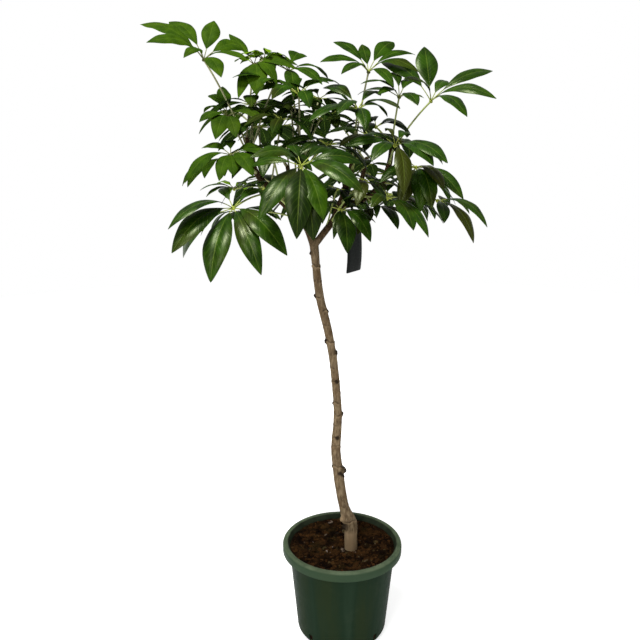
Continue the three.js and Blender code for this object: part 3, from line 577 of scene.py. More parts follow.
def bark_material():
    """Growth holds the dark stain of scars and cuts, the pale callus, and young wood, dark partly as painted
    shade.
    """
    look = Look("bark", 0.9, IOR=1.35, Specular_IOR_Level=0.08)
    stain, callus, youth_and_shade = look.growth()
    streaks = look.noise(190, 4, (1, 1, 0.30))
    patches = look.noise(46, 3, (1, 1, 0.5))
    old = [(0.28, srgb(66, 53, 38)), (0.5, srgb(96, 81, 61)), (0.72, srgb(125, 109, 85))]
    # The young wood's colour, made dark partly as painted shade for the limbs inside the crown.
    young = [(0.30, srgb(28, 20, 11)), (0.55, srgb(48, 36, 20)), (0.75, srgb(72, 56, 34))]
    look.colour = look.ramp(streaks, old)
    look.lay(look.spread(patches, 0.46, 0.70, 0.0, 0.6), srgb(76, 57, 37))
    look.lay(youth_and_shade, look.ramp(streaks, young))
    look.lay(look.spread(look.noise(620, 2), 0.62, 0.70, 0.0, 0.5), srgb(140, 126, 102))
    look.lay(look.times(callus, 0.8), srgb(150, 128, 98))
    look.lay(look.times(stain, 0.92), srgb(24, 17, 12))
    height = look.maths("ADD", streaks, look.times(look.noise(900, 3), 0.5))
    return look.finish(height, 0.0007, 0.55)


def pot_material():
    """Streaked plastic, with a paler rim, painted shade inside, and dust with a painted highlight where it
    faces up.
    """
    look = Look("pot_plastic", 0.42, IOR=1.42, Specular_IOR_Level=0.012)
    height, facing_up = look.split(look.place())[2], look.surface("Normal")[2]
    runs = look.noise(16, 3, (1, 1, 0.06))
    shades = [(0.36, srgb(29, 39, 23)), (0.52, srgb(23, 37, 25)), (0.66, srgb(29, 43, 31))]
    look.colour = look.ramp(runs, shades)
    look.lay(look.spread(look.noise(26, 4), 0.50, 0.8, 0.0, 0.2), srgb(44, 52, 38))
    look.lay(look.spread(height, SKIRT_FOOT - 0.004, SKIRT_FOOT + 0.004, 0.0, 0.6), srgb(54, 70, 52))
    # Painted shade: the inside of the pot, facing the middle, is darkened.
    look.lay(look.inward(), srgb(12, 18, 11))
    # Dust and a painted highlight: surfaces that face up are made paler in patches.
    dust_and_sheen_patches = look.spread(look.noise(34, 3), 0.3, 0.7, 0.5, 1.0)
    look.lay(look.times(look.spread(facing_up, 0.1, 0.9, 0.0, 0.75), dust_and_sheen_patches), srgb(96, 108, 84))
    roughness = look.spread(look.noise(240, 4, (1, 1, 0.3)), 0.3, 0.7, 0.34, 0.5)
    return look.finish(look.noise(1400, 2), 0.0002, 0.3, roughness)


def mix_material():
    """Growth's first number is the kind of grain: soil at 0, then dark to light bark, grey, and white."""
    look = Look("bark_mix", 0.95, IOR=1.3, Specular_IOR_Level=0.05)
    kind, _, _ = look.growth()
    look.colour = look.ramp(kind, [
        (0.0, srgb(18, 10, 5)), (0.25, srgb(34, 21, 10)), (0.5, srgb(64, 41, 20)), (0.7, srgb(72, 47, 24)),
        (0.82, srgb(66, 58, 36)), (0.93, srgb(170, 148, 140)), (1.0, srgb(196, 182, 172)),
    ])
    beds = look.noise(26, 3)
    look.lay(look.spread(beds, 0.52, 0.66, 0.0, 0.55), srgb(66, 44, 21))
    look.lay(look.spread(look.noise(19, 2), 0.52, 0.66, 0.0, 0.4), srgb(46, 38, 18))
    look.lay(look.spread(beds, 0.48, 0.36, 0.0, 0.85), srgb(9, 5, 4))
    grain = look.noise(600, 4, (1, 1, 0.6))
    look.lay(look.spread(grain, 0.25, 0.6, 0.6, 0.0), srgb(8, 5, 3))
    return look.finish(grain, 0.0008, 0.7)


def tag_material():
    look = Look("tag_plastic", 0.5, IOR=1.45, Specular_IOR_Level=0.04)
    smears = look.noise(34, 4, (1, 1, 0.35))
    shades = [(0.35, srgb(6, 9, 8)), (0.55, srgb(12, 16, 14)), (0.75, srgb(24, 29, 26))]
    look.colour = look.ramp(smears, shades)
    look.lay(look.spread(look.noise(520, 3), 0.60, 0.74, 0.0, 0.2), srgb(96, 100, 92))
    return look.finish(look.noise(800, 2), 0.0002, 0.3, look.spread(smears, 0.3, 0.7, 0.34, 0.5))


def floor_material():
    glow = {"Emission_Color": (1, 1, 1, 1), "Emission_Strength": 0.7}
    look = Look("floor_paper", 0.9, IOR=1.3, Specular_IOR_Level=0.1, **glow)
    fleck = look.noise(3, 3)
    look.put(look.shader.inputs["Base Color"], look.mix(fleck, srgb(248, 248, 247), srgb(251, 251, 250)))
    return look.material


# ---- meshes -------------------------------------------------------------------------------------


def no_growth(ring, point):
    return (0, 0, 0)


class Shape:
    """The points and faces of one piece. Each point also holds its three growth numbers."""

    def __init__(self):
        self.points = []
        self.growth = []
        self.faces = []
        self.slots = []

    def add_point(self, point, growth):
        self.points.append(tuple(point))
        self.growth.append(growth)
        return len(self.points) - 1

    def loft(self, rings, growth=no_growth, slot=0, ends="shut"):
        """A surface through rings of equally many points.

        growth gives the three numbers for a ring and a point of it. slot is a number, or one for each side.
        The ends are shut by a middle point, left open, or joined to each other.
        """
        sides = len(rings[0])
        slots = [slot] * sides if isinstance(slot, int) else slot
        first = len(self.points)
        for number, ring in enumerate(rings):
            for side, point in enumerate(ring):
                self.add_point(point, growth(number, side))
        for number in range(len(rings) if ends == "joined" else len(rings) - 1):
            near = first + number * sides
            far = first + (number + 1) % len(rings) * sides
            for side in range(sides):
                beside = (side + 1) % sides
                self.faces.append((near + side, near + beside, far + beside, far + side))
            self.slots += slots
        if ends == "shut":
            for number, flip in ((0, True), (len(rings) - 1, False)):
                middle = self.add_point(sum(rings[number], Vector()) / sides, growth(number, 0))
                start = first + number * sides
                for side in range(sides):
                    pair = (start + side, start + (side + 1) % sides)
                    self.faces.append((middle, *reversed(pair)) if flip else (middle, *pair))
                self.slots += slots

    def mesh(self, name, sharp_angle=50):
        made = bpy.data.meshes.new(name)
        made.from_pydata(self.points, [], self.faces)
        made.polygons.foreach_set("material_index", self.slots)
        made.polygons.foreach_set("use_smooth", [True] * len(self.faces))
        store_growth(made, np.array(self.growth, np.float32))
        made.set_sharp_from_angle(angle=math.radians(sharp_angle))
        made.update()
        return made


def store_growth(mesh, values):
    layer = mesh.attributes.get("growth") or mesh.attributes.new("growth", "FLOAT_VECTOR", "POINT")
    layer.data.foreach_set("vector", values.astype(np.float32).ravel())


def add_piece(name, mesh, materials, replaced):
    """Puts a mesh in the scene as a piece that stands for CAD nodes."""
    piece = new_object(name, mesh)
    for material in materials:
        mesh.materials.append(material)
    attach(piece, "root")
    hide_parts(*replaced)
    return piece


def read_vertices(mesh, key):
    """Three numbers for each vertex: its place, "co", or its "normal"."""
    flat = np.empty(len(mesh.vertices) * 3, np.float32)
    mesh.vertices.foreach_get(key, flat)
    return flat.reshape(-1, 3).astype(float)


def with_modifiers(mesh, *modifiers):
    """The mesh after a row of modifiers, each given as (kind, settings)."""
    carrier = new_object("carrier", mesh)
    for kind, settings in modifiers:
        modifier = carrier.modifiers.new(kind.lower(), kind)
        for key, value in settings.items():
            setattr(modifier, key, value)
    ready = carrier.evaluated_get(bpy.context.evaluated_depsgraph_get())
    result = bpy.data.meshes.new_from_object(ready)
    bpy.data.objects.remove(carrier)
    return result


# ---- curves -------------------------------------------------------------------------------------


class Curve:
    """A centripetal Catmull-Rom curve through points, read by its share of the length."""

    FINE = 240

    def __init__(self, points):
        self.points = [Vector(point) for point in points]
        samples = [self.at_turn(turn) for turn in walk(self.FINE)]
        self.lengths = [0.0]
        for a, b in zip(samples, samples[1:]):
            self.lengths.append(self.lengths[-1] + (b - a).length)
        self.length = self.lengths[-1]

    def at_turn(self, turn):
        """The point at a turn from 0 to 1, with every span between two points taking an equal part."""
        last = len(self.points) - 1
        below = min(int(turn * last), last - 1)
        weight = turn * last - below
        p1, p2 = self.points[below], self.points[below + 1]
        p0 = self.points[below - 1] if below > 0 else 2 * p1 - p2
        p3 = self.points[below + 2] if below + 2 <= last else 2 * p2 - p1
        d0, d1, d2 = ((b - a).length ** 0.5 for a, b in ((p0, p1), (p1, p2), (p2, p3)))
        slope1 = ((p1 - p0) / d0 - (p2 - p0) / (d0 + d1) + (p2 - p1) / d1) * d1
        slope2 = ((p2 - p1) / d1 - (p3 - p1) / (d1 + d2) + (p3 - p2) / d2) * d1
        square = -3 * p1 + 3 * p2 - 2 * slope1 - slope2
        cube = 2 * p1 - 2 * p2 + slope1 + slope2
        return p1 + slope1 * weight + square * weight**2 + cube * weight**3

    def turn_at(self, share):
        return float(np.interp(share * self.length, self.lengths, np.linspace(0, 1, self.FINE + 1)))

    def at(self, share):
        return self.at_turn(self.turn_at(share))

    def direction(self, share):
        ahead, behind = min(1.0, share + 0.001), max(0.0, share - 0.001)
        return (self.at(ahead) - self.at(behind)).normalized()


class Stem:
    """A woody stem: a centre line with a radius at each of its points."""

    def __init__(self, line):
        self.curve = Curve([point[:3] for point in line])
        self.radii = [point[3] for point in line]

    def radius(self, share):
        turn = self.curve.turn_at(share)
        return float(np.interp(turn, np.linspace(0, 1, len(self.radii)), self.radii))


def tube_rings(centres, radii, sides):
    """Round rings along a row of points, turned as little as possible from one to the next."""
    rings = []
    side = None
    for number, (centre, radius) in enumerate(zip(centres, radii)):
        ahead = centres[min(number + 1, len(centres) - 1)]
        behind = centres[max(number - 1, 0)]
        direction = (ahead - behind).normalized()
        if side is None:
            side = direction.orthogonal().normalized()
        side = (side - direction * side.dot(direction)).normalized()
        other = direction.cross(side)
        rings.append([
            centre + side * (radius * math.cos(a)) + other * (radius * math.sin(a)) for a in circle(sides)
        ])
    return rings


def turned_rings(profile, segments):
    """Rings round the Z axis, one for each (out, up) point of a profile."""
    rounds = [(math.cos(a), math.sin(a)) for a in circle(segments)]
    return [[Vector((out * x, out * y, up)) for x, y in rounds] for out, up in profile]


def dome(stem, steps=5):
    """Centres and radii that round off the upper end of a stem."""
    tip, direction, radius = stem.curve.at(1), stem.curve.direction(1), stem.radii[-1]
    angles = [math.pi / 2 * step / steps for step in range(1, steps)]
    return [tip + direction * (radius * math.sin(a)) for a in angles], [radius * math.cos(a) for a in angles]


# ---- pot ----------------------------------------------------------------------------------------


def body_radius(height):
    """The outer radius of the pot's body at a height, up to where it starts to flare."""
    return lerp(POT["base_radius"], POT["body_top_radius"], height / FLARE_FOOT)


def inner_radius(height):
    """The radius inside the pot's wall at a height."""
    levels = [0, FLARE_FOOT, THROAT, POT["height"]]
    radii = [body_radius(0) - POT["wall"], POT["body_top_radius"] - POT["wall"], POT["throat_radius"]]
    return float(np.interp(height, levels, [*radii, POT["rim_inner_radius"]]))


def arc(centre, radius, start, end, steps):
    """Points (out, up) on an arc between two angles in degrees."""
    angles = [math.radians(lerp(start, end, share)) for share in walk(steps)]
    return [(centre[0] + radius * math.cos(a), centre[1] + radius * math.sin(a)) for a in angles]


def foot_arc(inwards, steps):
    """The rounded foot of the wall, moved inwards by a distance, from the underside up."""
    rounding = POT["base_rounding"]
    return arc((body_radius(rounding) - rounding, rounding), rounding - inwards, -90, 0, steps)


def pot_profile():
    """The pot's wall: out along its underside, up the outside, over the rolled rim and down inside."""
    height, wall, rim_wall = POT["height"], POT["wall"], POT["rim_wall"]
    rounding, rim, inner = POT["base_rounding"], POT["rim_radius"], POT["rim_inner_radius"]
    body_top, throat_radius = POT["body_top_radius"], POT["throat_radius"]
    under_rim = height - rim_wall
    roll, lip = POT["rim_roll"], POT["lip_roll"]
    recess, recess_radius = POT["recess"], POT["recess_radius"]
    axis = 0.0005
    return [
        (axis, recess),
        (recess_radius / 2, recess),
        (recess_radius, recess),
        (recess_radius + 0.003, 0.0),
        *foot_arc(0, 16),
        *[(body_radius(up), up) for up in np.linspace(rounding + 0.004, FLARE_FOOT - 0.003, 24)],
        (body_top + 0.0004, FLARE_FOOT),
        (throat_radius + wall, THROAT),
        (inner + wall - 0.0006, under_rim - 0.003),
        (inner + wall + 0.0015, under_rim - 0.0008),
        (rim - rim_wall - 0.002, under_rim - 0.0016),
        (rim - rim_wall, under_rim - 0.004),
        (rim - rim_wall, SKIRT_FOOT + 0.001),
        (rim - rim_wall + 0.001, SKIRT_FOOT),
        (rim - 0.001, SKIRT_FOOT),
        (rim - 0.0002, SKIRT_FOOT + 0.001),
        *arc((rim - roll, height - roll), roll, 0, 90, 10),
        *arc((inner + lip, height - lip), lip, 90, 165, 6),
        (throat_radius + 0.0006, THROAT + 0.002),
        (throat_radius - 0.0004, THROAT - 0.001),
        (body_top - wall + 0.0006, FLARE_FOOT + 0.003),
        *[(body_radius(up) - wall, up) for up in np.linspace(FLARE_FOOT - 0.002, rounding + 0.004, 16)],
        *reversed(foot_arc(wall, 10)),
        (axis, wall),
    ]


def slot_outline():
    """A drain slot seen end on, with rounded corners."""
    half, middle, corner = DRAIN["width"] / 2, (DRAIN["top"] + DRAIN["foot"]) / 2, 0.003
    rise = (DRAIN["top"] - DRAIN["foot"]) / 2
    upper = [(half - corner + x, rise - corner + y) for x, y in arc((0, 0), corner, 0, 90, 4)]
    right = [(x, -y) for x, y in reversed(upper)] + upper
    return [(x, middle + y) for x, y in right + [(-x, -y) for x, y in right]]


def slot_cutter():
    """What the drain slots take out of the wall."""
    cutter = Shape()
    for number in range(DRAIN["count"]):
        turn = Matrix.Rotation(math.radians(DRAIN["first_heading"] + 360 * number / DRAIN["count"]), 3, "Z")
        ends = [POT["base_radius"] + side * DRAIN["reach"] for side in (-1, 1)]
        cutter.loft([[turn @ Vector((out, across, up)) for across, up in slot_outline()] for out in ends])
    return new_object("slots", cutter.mesh("slots"))


def build_pot():
    shape = Shape()
    shape.loft(turned_rings(pot_profile(), POT["segments"]), ends="joined")
    body = shape.mesh("pot_body")
    tool = slot_cutter()
    cut = with_modifiers(body, ("BOOLEAN", {"object": tool, "operation": "DIFFERENCE", "solver": "EXACT"}))
    bpy.data.objects.remove(tool)
    cut.set_sharp_from_angle(angle=math.radians(38))
    add_piece("nursery_pot", cut, [pot_material()], ["pot"])


# ---- potting mix --------------------------------------------------------------------------------


def mix_surface(x, y):
    """The height of the uneven soil between the chips."""
    share = min(1.0, math.hypot(x, y) / MIX["shoulder"])
    level = lerp(MIX["middle_top"], MIX["edge_top"], share**1.5)
    hollows = noise.noise(Vector((x * 34, y * 34, 3.1))) * 0.0030
    crumbs = noise.noise(Vector((x * 190, y * 190, 7.7))) * 0.0014
    return level + hollows + crumbs


def build_mix():
    """The bed of soil, and the loose chips and grains that lie on it."""
    shape = Shape()
    side = [(inner_radius(height) - MIX["gap"], height) for height in (0.1, FLARE_FOOT, THROAT)]
    rings = turned_rings([*foot_arc(POT["wall"] + MIX["gap"], 8), *side], MIX["segments"])
    for out in np.linspace(inner_radius(MIX["edge_top"]) - MIX["gap"], 0.003, MIX["rings"]):
        flat = [(out * math.cos(a), out * math.sin(a)) for a in circle(MIX["segments"])]
        rings.append([Vector((x, y, mix_surface(x, y))) for x, y in flat])
    shape.loft(rings, lambda ring, point: (0.05 + 0.2 * random.random(), 0, 0))
    for number in range(MIX["chips"] + MIX["perlite"]):
        white = number >= MIX["chips"]
        size = (random.uniform(*PERLITE),) * 3 if white else chip_size()
        place = chip_place(size[0])
        kind = random.uniform(0.94, 1.0) if white else chip_kind()
        add_chip(shape, place, size, kind)
    for across, along, radius in BIG_PERLITE:
        place = Vector((across, along, mix_surface(across, along) + radius * 0.4))
        add_chip(shape, place, (radius,) * 3, 0.98)
    mesh = shape.mesh("mix", sharp_angle=32)
    add_piece("bark_mix", mesh, [mix_material()], ["potting_mix"])


def chip_size():
    long = random.uniform(*CHIP["small" if random.random() < 0.9 else "large"])
    return long, long * random.uniform(*CHIP["width"]), random.uniform(*CHIP["height"])


def chip_kind():
    """Mostly dark brown bark, some of it reddish or grey."""
    draw = random.random()
    if draw < 0.07:
        return random.uniform(0.60, 0.70)
    if draw < 0.12:
        return random.uniform(0.76, 0.84)
    return random.uniform(0.05, 0.50)


def chip_place(reach):
    """A random place on the soil, off the trunk and the wall."""
    x, y, _, radius = TRUNK[1]
    widest = inner_radius(MIX["edge_top"]) - 0.001 - reach
    while True:
        out, turn = widest * math.sqrt(random.random()), random.uniform(0, 2 * math.pi)
        place = Vector((out * math.cos(turn), out * math.sin(turn)))
        if (place - Vector((x, y))).length > radius + reach * 0.6:
            return place.to_3d() + UP * (mix_surface(*place) + random.uniform(-0.0004, 0.0016))


def add_chip(shape, place, size, kind):
    """One rough grain: an uneven ball squashed to its size and laid at a slant."""
    slant = Quaternion(aim(random.uniform(0, 360), 0), math.radians(random.uniform(-32, 32)))
    turn = slant @ Quaternion(UP, random.uniform(0, 2 * math.pi))
    rings = []
    for level in (-0.8, -0.35, 0.3, 0.85):
        reach = math.sqrt(1 - level**2) ** 0.5
        ring = []
        for a in circle(7):
            swell = reach * random.uniform(0.78, 1.16)
            corner = Vector((size[0] * swell * math.cos(a), size[1] * swell * math.sin(a), size[2] * level))
            ring.append(place + turn @ corner)
        rings.append(ring)
    shade = [(kind + random.uniform(-0.03, 0.03), 0, 0) for _ in range(4)]
    shape.loft(rings, lambda ring, point: shade[ring])


# ---- trunk and limbs ----------------------------------------------------------------------------


def trunk_centre(height):
    """The trunk's middle, x and y, at a height or at many."""
    heights = [point[2] for point in TRUNK]
    return [np.interp(height, heights, [point[axis] for point in TRUNK]) for axis in (0, 1)]


def stub_point(height, heading, reach):
    """A point this far out along a pruned shoot, from the trunk's middle."""
    return Vector((*trunk_centre(height), height)) + aim(heading, STUB_PITCH) * reach


def wood_body():
    """The trunk, its cut side shoots and all the limbs, as one skin."""
    shape = Shape()
    for line in (TRUNK, *LIMBS.values()):
        stem = Stem(line)
        shares = walk(round(stem.curve.length / WOOD["ring_gap"]))
        tip_centres, tip_radii = dome(stem)
        centres = [stem.curve.at(share) for share in shares] + tip_centres
        radii = [stem.radius(share) for share in shares] + tip_radii
        shape.loft(tube_rings(centres, radii, 20))
    for height, heading, reach, radius in (*STUBS, LEDGE):
        ways = [stub_point(height, heading, reach * share) for share in (0, 0.35, 0.62, 0.85, 0.97, 1.0)]
        shape.loft(tube_rings(ways, [radius * k for k in (1.25, 1.15, 0.92, 0.86, 0.84, 0.7)], 14))
    return with_modifiers(
        shape.mesh("wood"),
        ("REMESH", {"mode": "VOXEL", "voxel_size": WOOD["voxel"]}),
        ("SMOOTH", {"factor": WOOD["smoothing"], "iterations": WOOD["smoothings"]}),
    )


def how_far(places, spot):
    return np.linalg.norm(places - np.array(spot), axis=1)


def bell(distance, width, power=2):
    """1 at no distance, falling to nearly 0 at twice the width."""
    return np.exp(-((distance / width) ** power))


def band(up, place, width, strength):
    """How strong a level band is, up being each point's height over its scar."""
    return strength * bell(up - place, width)


def relief(place, height, across, along):
    """Noise of this height, with its scales across and along the stem."""
    x, y, z = place
    return height * noise.noise(Vector((x * across, y * across, z * along)))


def mark_scars(heights, headings, on_trunk, rise, growth):
    """Leaf scars: each a ridge with a groove over it, stained in the groove and pale below."""
    for number, (height, heading, span, ridge) in enumerate(SCARS):
        tilt = 0.0026 * np.sin(np.radians(headings * 2 + 70 * number))
        tilt += 0.0012 * np.sin(np.radians(headings * 5))
        up = heights - height - tilt
        off = np.abs((headings - heading + 180) % 360 - 180)
        reach = on_trunk * np.clip((span - off) / 25, 0, 1)
        rise += reach * ridge * MM * (band(up, *RIDGE) + band(up, *GROOVE))
        growth[:, 0] += reach * (0.25 + 0.4 * ridge) * band(up, *STAIN)
        growth[:, 1] += reach * 0.45 * ridge * band(up, *CALLUS)


def mark_cuts(places, on_trunk, growth):
    """Dark ends on the pruned shoots, and pale wood on the ledge and below the lowest cut."""
    for height, heading, reach, radius in STUBS:
        away = how_far(places, stub_point(height, heading, reach))
        growth[:, 0] += np.clip(1.5 - away / (radius * 1.3), 0, 1)
    pale = np.clip(1.7 - how_far(places, stub_point(*LEDGE[:3])) / (LEDGE[3] * 1.1), 0, 1)
    growth[:, 0] *= 1 - pale
    foot = np.clip((PALE_FOOT["top"] - places[:, 2]) / PALE_FOOT["over"], 0, PALE_FOOT["most"])
    growth[:, 1] += 0.8 * pale + on_trunk * foot


def mark_buds(places, on_trunk, rise, growth):
    for height, heading, stand in BUDS:
        away = how_far(places, Vector((*trunk_centre(height), height)) + aim(heading, 0) * BUD["out"])
        rise += on_trunk * stand * MM * bell(away, BUD["width"])
        growth[:, 0] += on_trunk * 1.1 * bell(away, BUD["dark_width"], 4)


def build_wood():
    mesh = wood_body()
    places, normals = read_vertices(mesh, "co"), read_vertices(mesh, "normal")
    rise = np.zeros(len(places))
    growth = np.zeros((len(places), 3))
    heights = places[:, 2]
    arm = places[:, :2] - np.stack(trunk_centre(heights), 1)
    headings = np.degrees(np.arctan2(arm[:, 1], arm[:, 0]))
    on_trunk = (np.hypot(arm[:, 0], arm[:, 1]) < 0.02) & (heights < 1.0)
    mark_scars(heights, headings, on_trunk, rise, growth)
    mark_cuts(places, on_trunk, growth)
    mark_buds(places, on_trunk, rise, growth)
    for number, place in enumerate(places):
        rise[number] += relief(place, *FISSURES) + relief(place, *LUMPS)
        rise[number] += max(0.0, relief(place, *PIMPLES) - PIMPLES[0] * PIMPLE_FLOOR)
    # Young wood above a height; the limbs get at least a share of it, partly as painted shade.
    young = np.clip((heights - YOUNG_AND_SHADED_WOOD["foot"]) / YOUNG_AND_SHADED_WOOD["over"], 0, 1)
    growth[:, 2] = np.where(on_trunk, young * YOUNG_AND_SHADED_WOOD["trunk"], np.maximum(young, YOUNG_AND_SHADED_WOOD["limbs"]))
    moved = places + normals * rise[:, None]
    mesh.vertices.foreach_set("co", moved.astype(np.float32).ravel())
    store_growth(mesh, np.clip(growth, 0, 1))
    mesh.polygons.foreach_set("use_smooth", [True] * len(mesh.polygons))
    mesh.update()
    nodes = ["trunk", *[f"{name}_limb" for name in LIMBS]]
    add_piece("trunk_and_limbs", mesh, [bark_material()], nodes)


# ---- leaves -------------------------------------------------------------------------------------


def open_evenly(spread, outward):
    """The leaflets of a leaf that opens evenly and tips outwards."""
    count, first, droop, length = spread
    leaflets = []
    for i in range(count):
        heading = first + 360 * i / count + 7 * math.sin(2.1 * i)
        pitch = -droop - LEAN * math.cos(math.radians(heading) - outward)
        leaflets.append((heading, pitch, length * (0.94 + 0.08 * math.cos(1.9 * i))))
    return leaflets


def umbrella_axis(leaflets):
    """The axis of the umbrella that a leaf's leaflets make: upright, or tipped to the low side."""
    axis = UP.copy()
    for heading, pitch, *_ in leaflets:
        axis += aim(heading, 0) * (-2 * math.tan(math.radians(pitch)) / len(leaflets))
    return axis.normalized()


def half_width(share):
    """A blade's outline: half its width at a share of its length, over half the widest."""
    return max(0.0, math.sin(math.pi * share ** LEAFLET["fullest"])) ** LEAFLET["fullness"]


class Leaflet:
    """One blade on its own little stalk, arching from the leaf's hub."""

    ROWS = 21
    COLUMNS = 12

    def __init__(self, hub, axis, leaflet, order):
        heading, pitch, self.length, *broader = leaflet
        self.widest = 0.5 * LEAFLET["slenderness"] * self.length * (broader[0] if broader else 1)
        self.hub = hub
        self.forward = aim(heading, pitch)
        level = self.forward.cross(axis).normalized()
        self.rise = level.cross(self.forward)
        roll = math.radians(LEAFLET["roll_sway"] * math.sin(2.4 * order + hub.x / MM))
        self.side = level * math.cos(roll) + self.rise * math.sin(roll)
        self.bow = LEAFLET["bow"] + LEAFLET["bow_sway"] * math.sin(1.7 * order + hub.z / MM)
        if pitch > LEAFLET["upright_pitch"]:
            self.bow *= LEAFLET["upright_bow"]
        self.stalk = LEAFLET["stalk"] + LEAFLET["stalk_rise"] * pitch
        self.twist = math.radians(random.uniform(*LEAFLET["twist"]))
        self.sway, self.cup, self.waves = (random.uniform(*LEAFLET[key]) for key in ("sway", "cup", "waves"))
        self.crumpled = self.length <= LEAFLET["crumpled"]
        self.wave_height = LEAFLET["crumple"] if self.crumpled else random.uniform(*LEAFLET["wave_height"])
        self.phase = random.uniform(0, 2 * math.pi)

    def place(self, share):
        arch = self.rise * (self.length * self.bow * 4 * share * (1 - share))
        drift = self.sway * math.sin(math.pi * share) * math.sin(2.2 * share + self.phase)
        return self.hub + self.forward * (self.length * share) + arch + self.side * (self.length * drift)

    def frame(self, share):
        """The directions across the blade and out of its upper face."""
        slope = (self.forward + self.rise * (self.bow * 4 * (1 - 2 * share))).normalized()
        normal = self.side.cross(slope).normalized()
        turn = Quaternion(slope, self.twist * (share - 0.4))
        return turn @ self.side, turn @ normal

    def add_stalk(self, shape, tone):
        stop = self.stalk + 0.05
        centres = []
        for share in [stop * step for step in walk(7)]:
            _, normal = self.frame(share)
            centres.append(self.place(share) - normal * (0.0007 * min(1.0, share / self.stalk)))
        radii = [LEAFLET["stalk_radius"] * k for k in (1.5, 1.15, 1.0, 0.95, 0.95, 1.0, 0.95, 0.4)]
        shape.loft(tube_rings(centres, radii, 8), lambda ring, point: (0, 1.0 - 0.05 * ring / 7, tone), 2)

    def section(self, blade, spots):
        """The ring round the blade at a share of its length: its upper face, and back along the lower."""
        share = self.stalk + (1 - self.stalk) * blade
        half = max(0.0006, self.widest * half_width(blade))
        side, normal = self.frame(share)
        middle = self.place(share)
        upper = []
        lower = []
        for spot in spots:
            gull = self.cup * (0.34 * abs(spot) - 0.42 * spot**2)
            wave = math.sin(2 * math.pi * self.waves * blade + self.phase + 1.4 * spot)
            frill = self.wave_height * spot**2 * wave
            skin = middle + side * (half * spot) + normal * (half * (gull + frill))
            rib = LEAFLET["rib"] * math.exp(-((spot * half / LEAFLET["rib_width"]) ** 2)) * (1 - 0.75 * blade)
            thick = LEAFLET["thickness"] * math.sqrt(max(0.0, 1 - spot**2)) + rib
            upper.append(skin)
            lower.append(skin - normal * thick)
        return upper + lower[-2:0:-1]

    def add_blade(self, shape, tone):
        columns, rows = self.COLUMNS, self.ROWS - 1
        # Rows crowd towards both ends of the blade, and columns towards its edges.
        spots = [step - 0.5 - 0.5 * math.cos(math.pi * step) for step in walk(columns)]
        shares = [0.3 - 0.3 * math.cos(math.pi * step) + 0.4 * step for step in walk(rows)]
        shares = [0.004 + 0.992 * share for share in shares]
        round_trip = spots + spots[-2:0:-1]
        rings = [self.section(blade, spots) for blade in shares]
        slots = [0] * columns + [1] * columns
        shape.loft(rings, lambda ring, point: (round_trip[point], shares[ring], tone), slots)


def add_petiole(shape, stem, along, hub, tone):
    """The leaf's main stalk, from inside its limb to the hub, with the knob where the leaflets meet."""
    start = stem.curve.at(along)
    crest = lerp(start, hub, 0.5) + UP * (PETIOLE["rise"] * (hub - start).length)
    shares = walk(20)
    centres = [start * (1 - s) ** 2 + crest * (2 * s * (1 - s)) + hub * s**2 for s in shares]
    clasp = stem.radius(along) / (hub - start).length
    radii = []
    for share in shares:
        base = 1 - smooth_step(clasp, clasp + PETIOLE["clasp"], share)
        swell = 1 + PETIOLE["hub_swell"] * smooth_step(0.93, 1, share)
        radii.append(lerp(PETIOLE["radius"], PETIOLE["base_radius"], base) * swell)
    shape.loft(tube_rings(centres, radii, 10), lambda ring, point: (0, 0.97 * shares[ring], tone), 2)
    forward = (centres[-1] - centres[-2]).normalized()
    levels = [math.radians(lerp(-80, 80, step)) for step in walk(7)]
    knob = [hub + forward * (HUB_RADIUS * 0.8 * math.sin(level)) for level in levels]
    girth = [HUB_RADIUS * math.cos(level) for level in levels]
    shape.loft(tube_rings(knob, girth, 14), lambda ring, point: (0, 1.0, tone), 2)


def leaf_tone(age_and_light, hub):
    """A leaflet's tone: the leaf's age, partly painted light, with some chance in it, less painted shade near
    the crown's middle.
    """
    off_middle = (hub - Vector(CROWN["middle"])).length / CROWN["reach"]
    shade = CROWN["painted_shade"] * (1 - smooth_step(CROWN["heart"], 1.0, off_middle))
    chance = random.uniform(-YOUTH_AND_LIGHT["sway"], YOUTH_AND_LIGHT["sway"])
    return min(1.0, max(0.0, age_and_light + chance)) * (1 - shade) - shade


def build_leaf(name, leaf, stem, grown, fresh):
    hub = Vector(leaf.hub)
    start = stem.curve.at(leaf.along)
    leaflets = leaf.leaflets or open_evenly(leaf.spread, math.atan2(hub.y - start.y, hub.x - start.x))
    axis = umbrella_axis(leaflets)
    # Partly painted light: the age rises with height and to the left, where the crown is lit more.
    age_and_light = smooth_step(YOUTH_AND_LIGHT["low"], YOUTH_AND_LIGHT["high"], hub.z - YOUTH_AND_LIGHT["painted_light_leftwards"] * hub.x)
    # Painted shade, and below 0 painted light, on this leaf's leaflets.
    shades = PAINTED_LEAF_SHADES.get(name, [0])
    shape = Shape()
    add_petiole(shape, stem, leaf.along, hub, age_and_light)
    for order, leaflet in enumerate(leaflets):
        tone = leaf_tone(age_and_light, hub) - shades[order % len(shades)]
        blade = Leaflet(hub, axis, leaflet, order)
        if blade.crumpled:
            tone = CRUMPLED_TONE
        elif hub.x > OLD_SIDE["x"] and hub.z < OLD_SIDE["z"] and order % OLD_SIDE["every"] == 1:
            tone = BROWNING_TONE
        blade.add_stalk(shape, tone)
        blade.add_blade(shape, tone)
    materials = fresh if age_and_light > YOUTH_AND_LIGHT["dull_age"] else grown
    add_piece(f"{name}_foliage", shape.mesh(name), materials, [name])


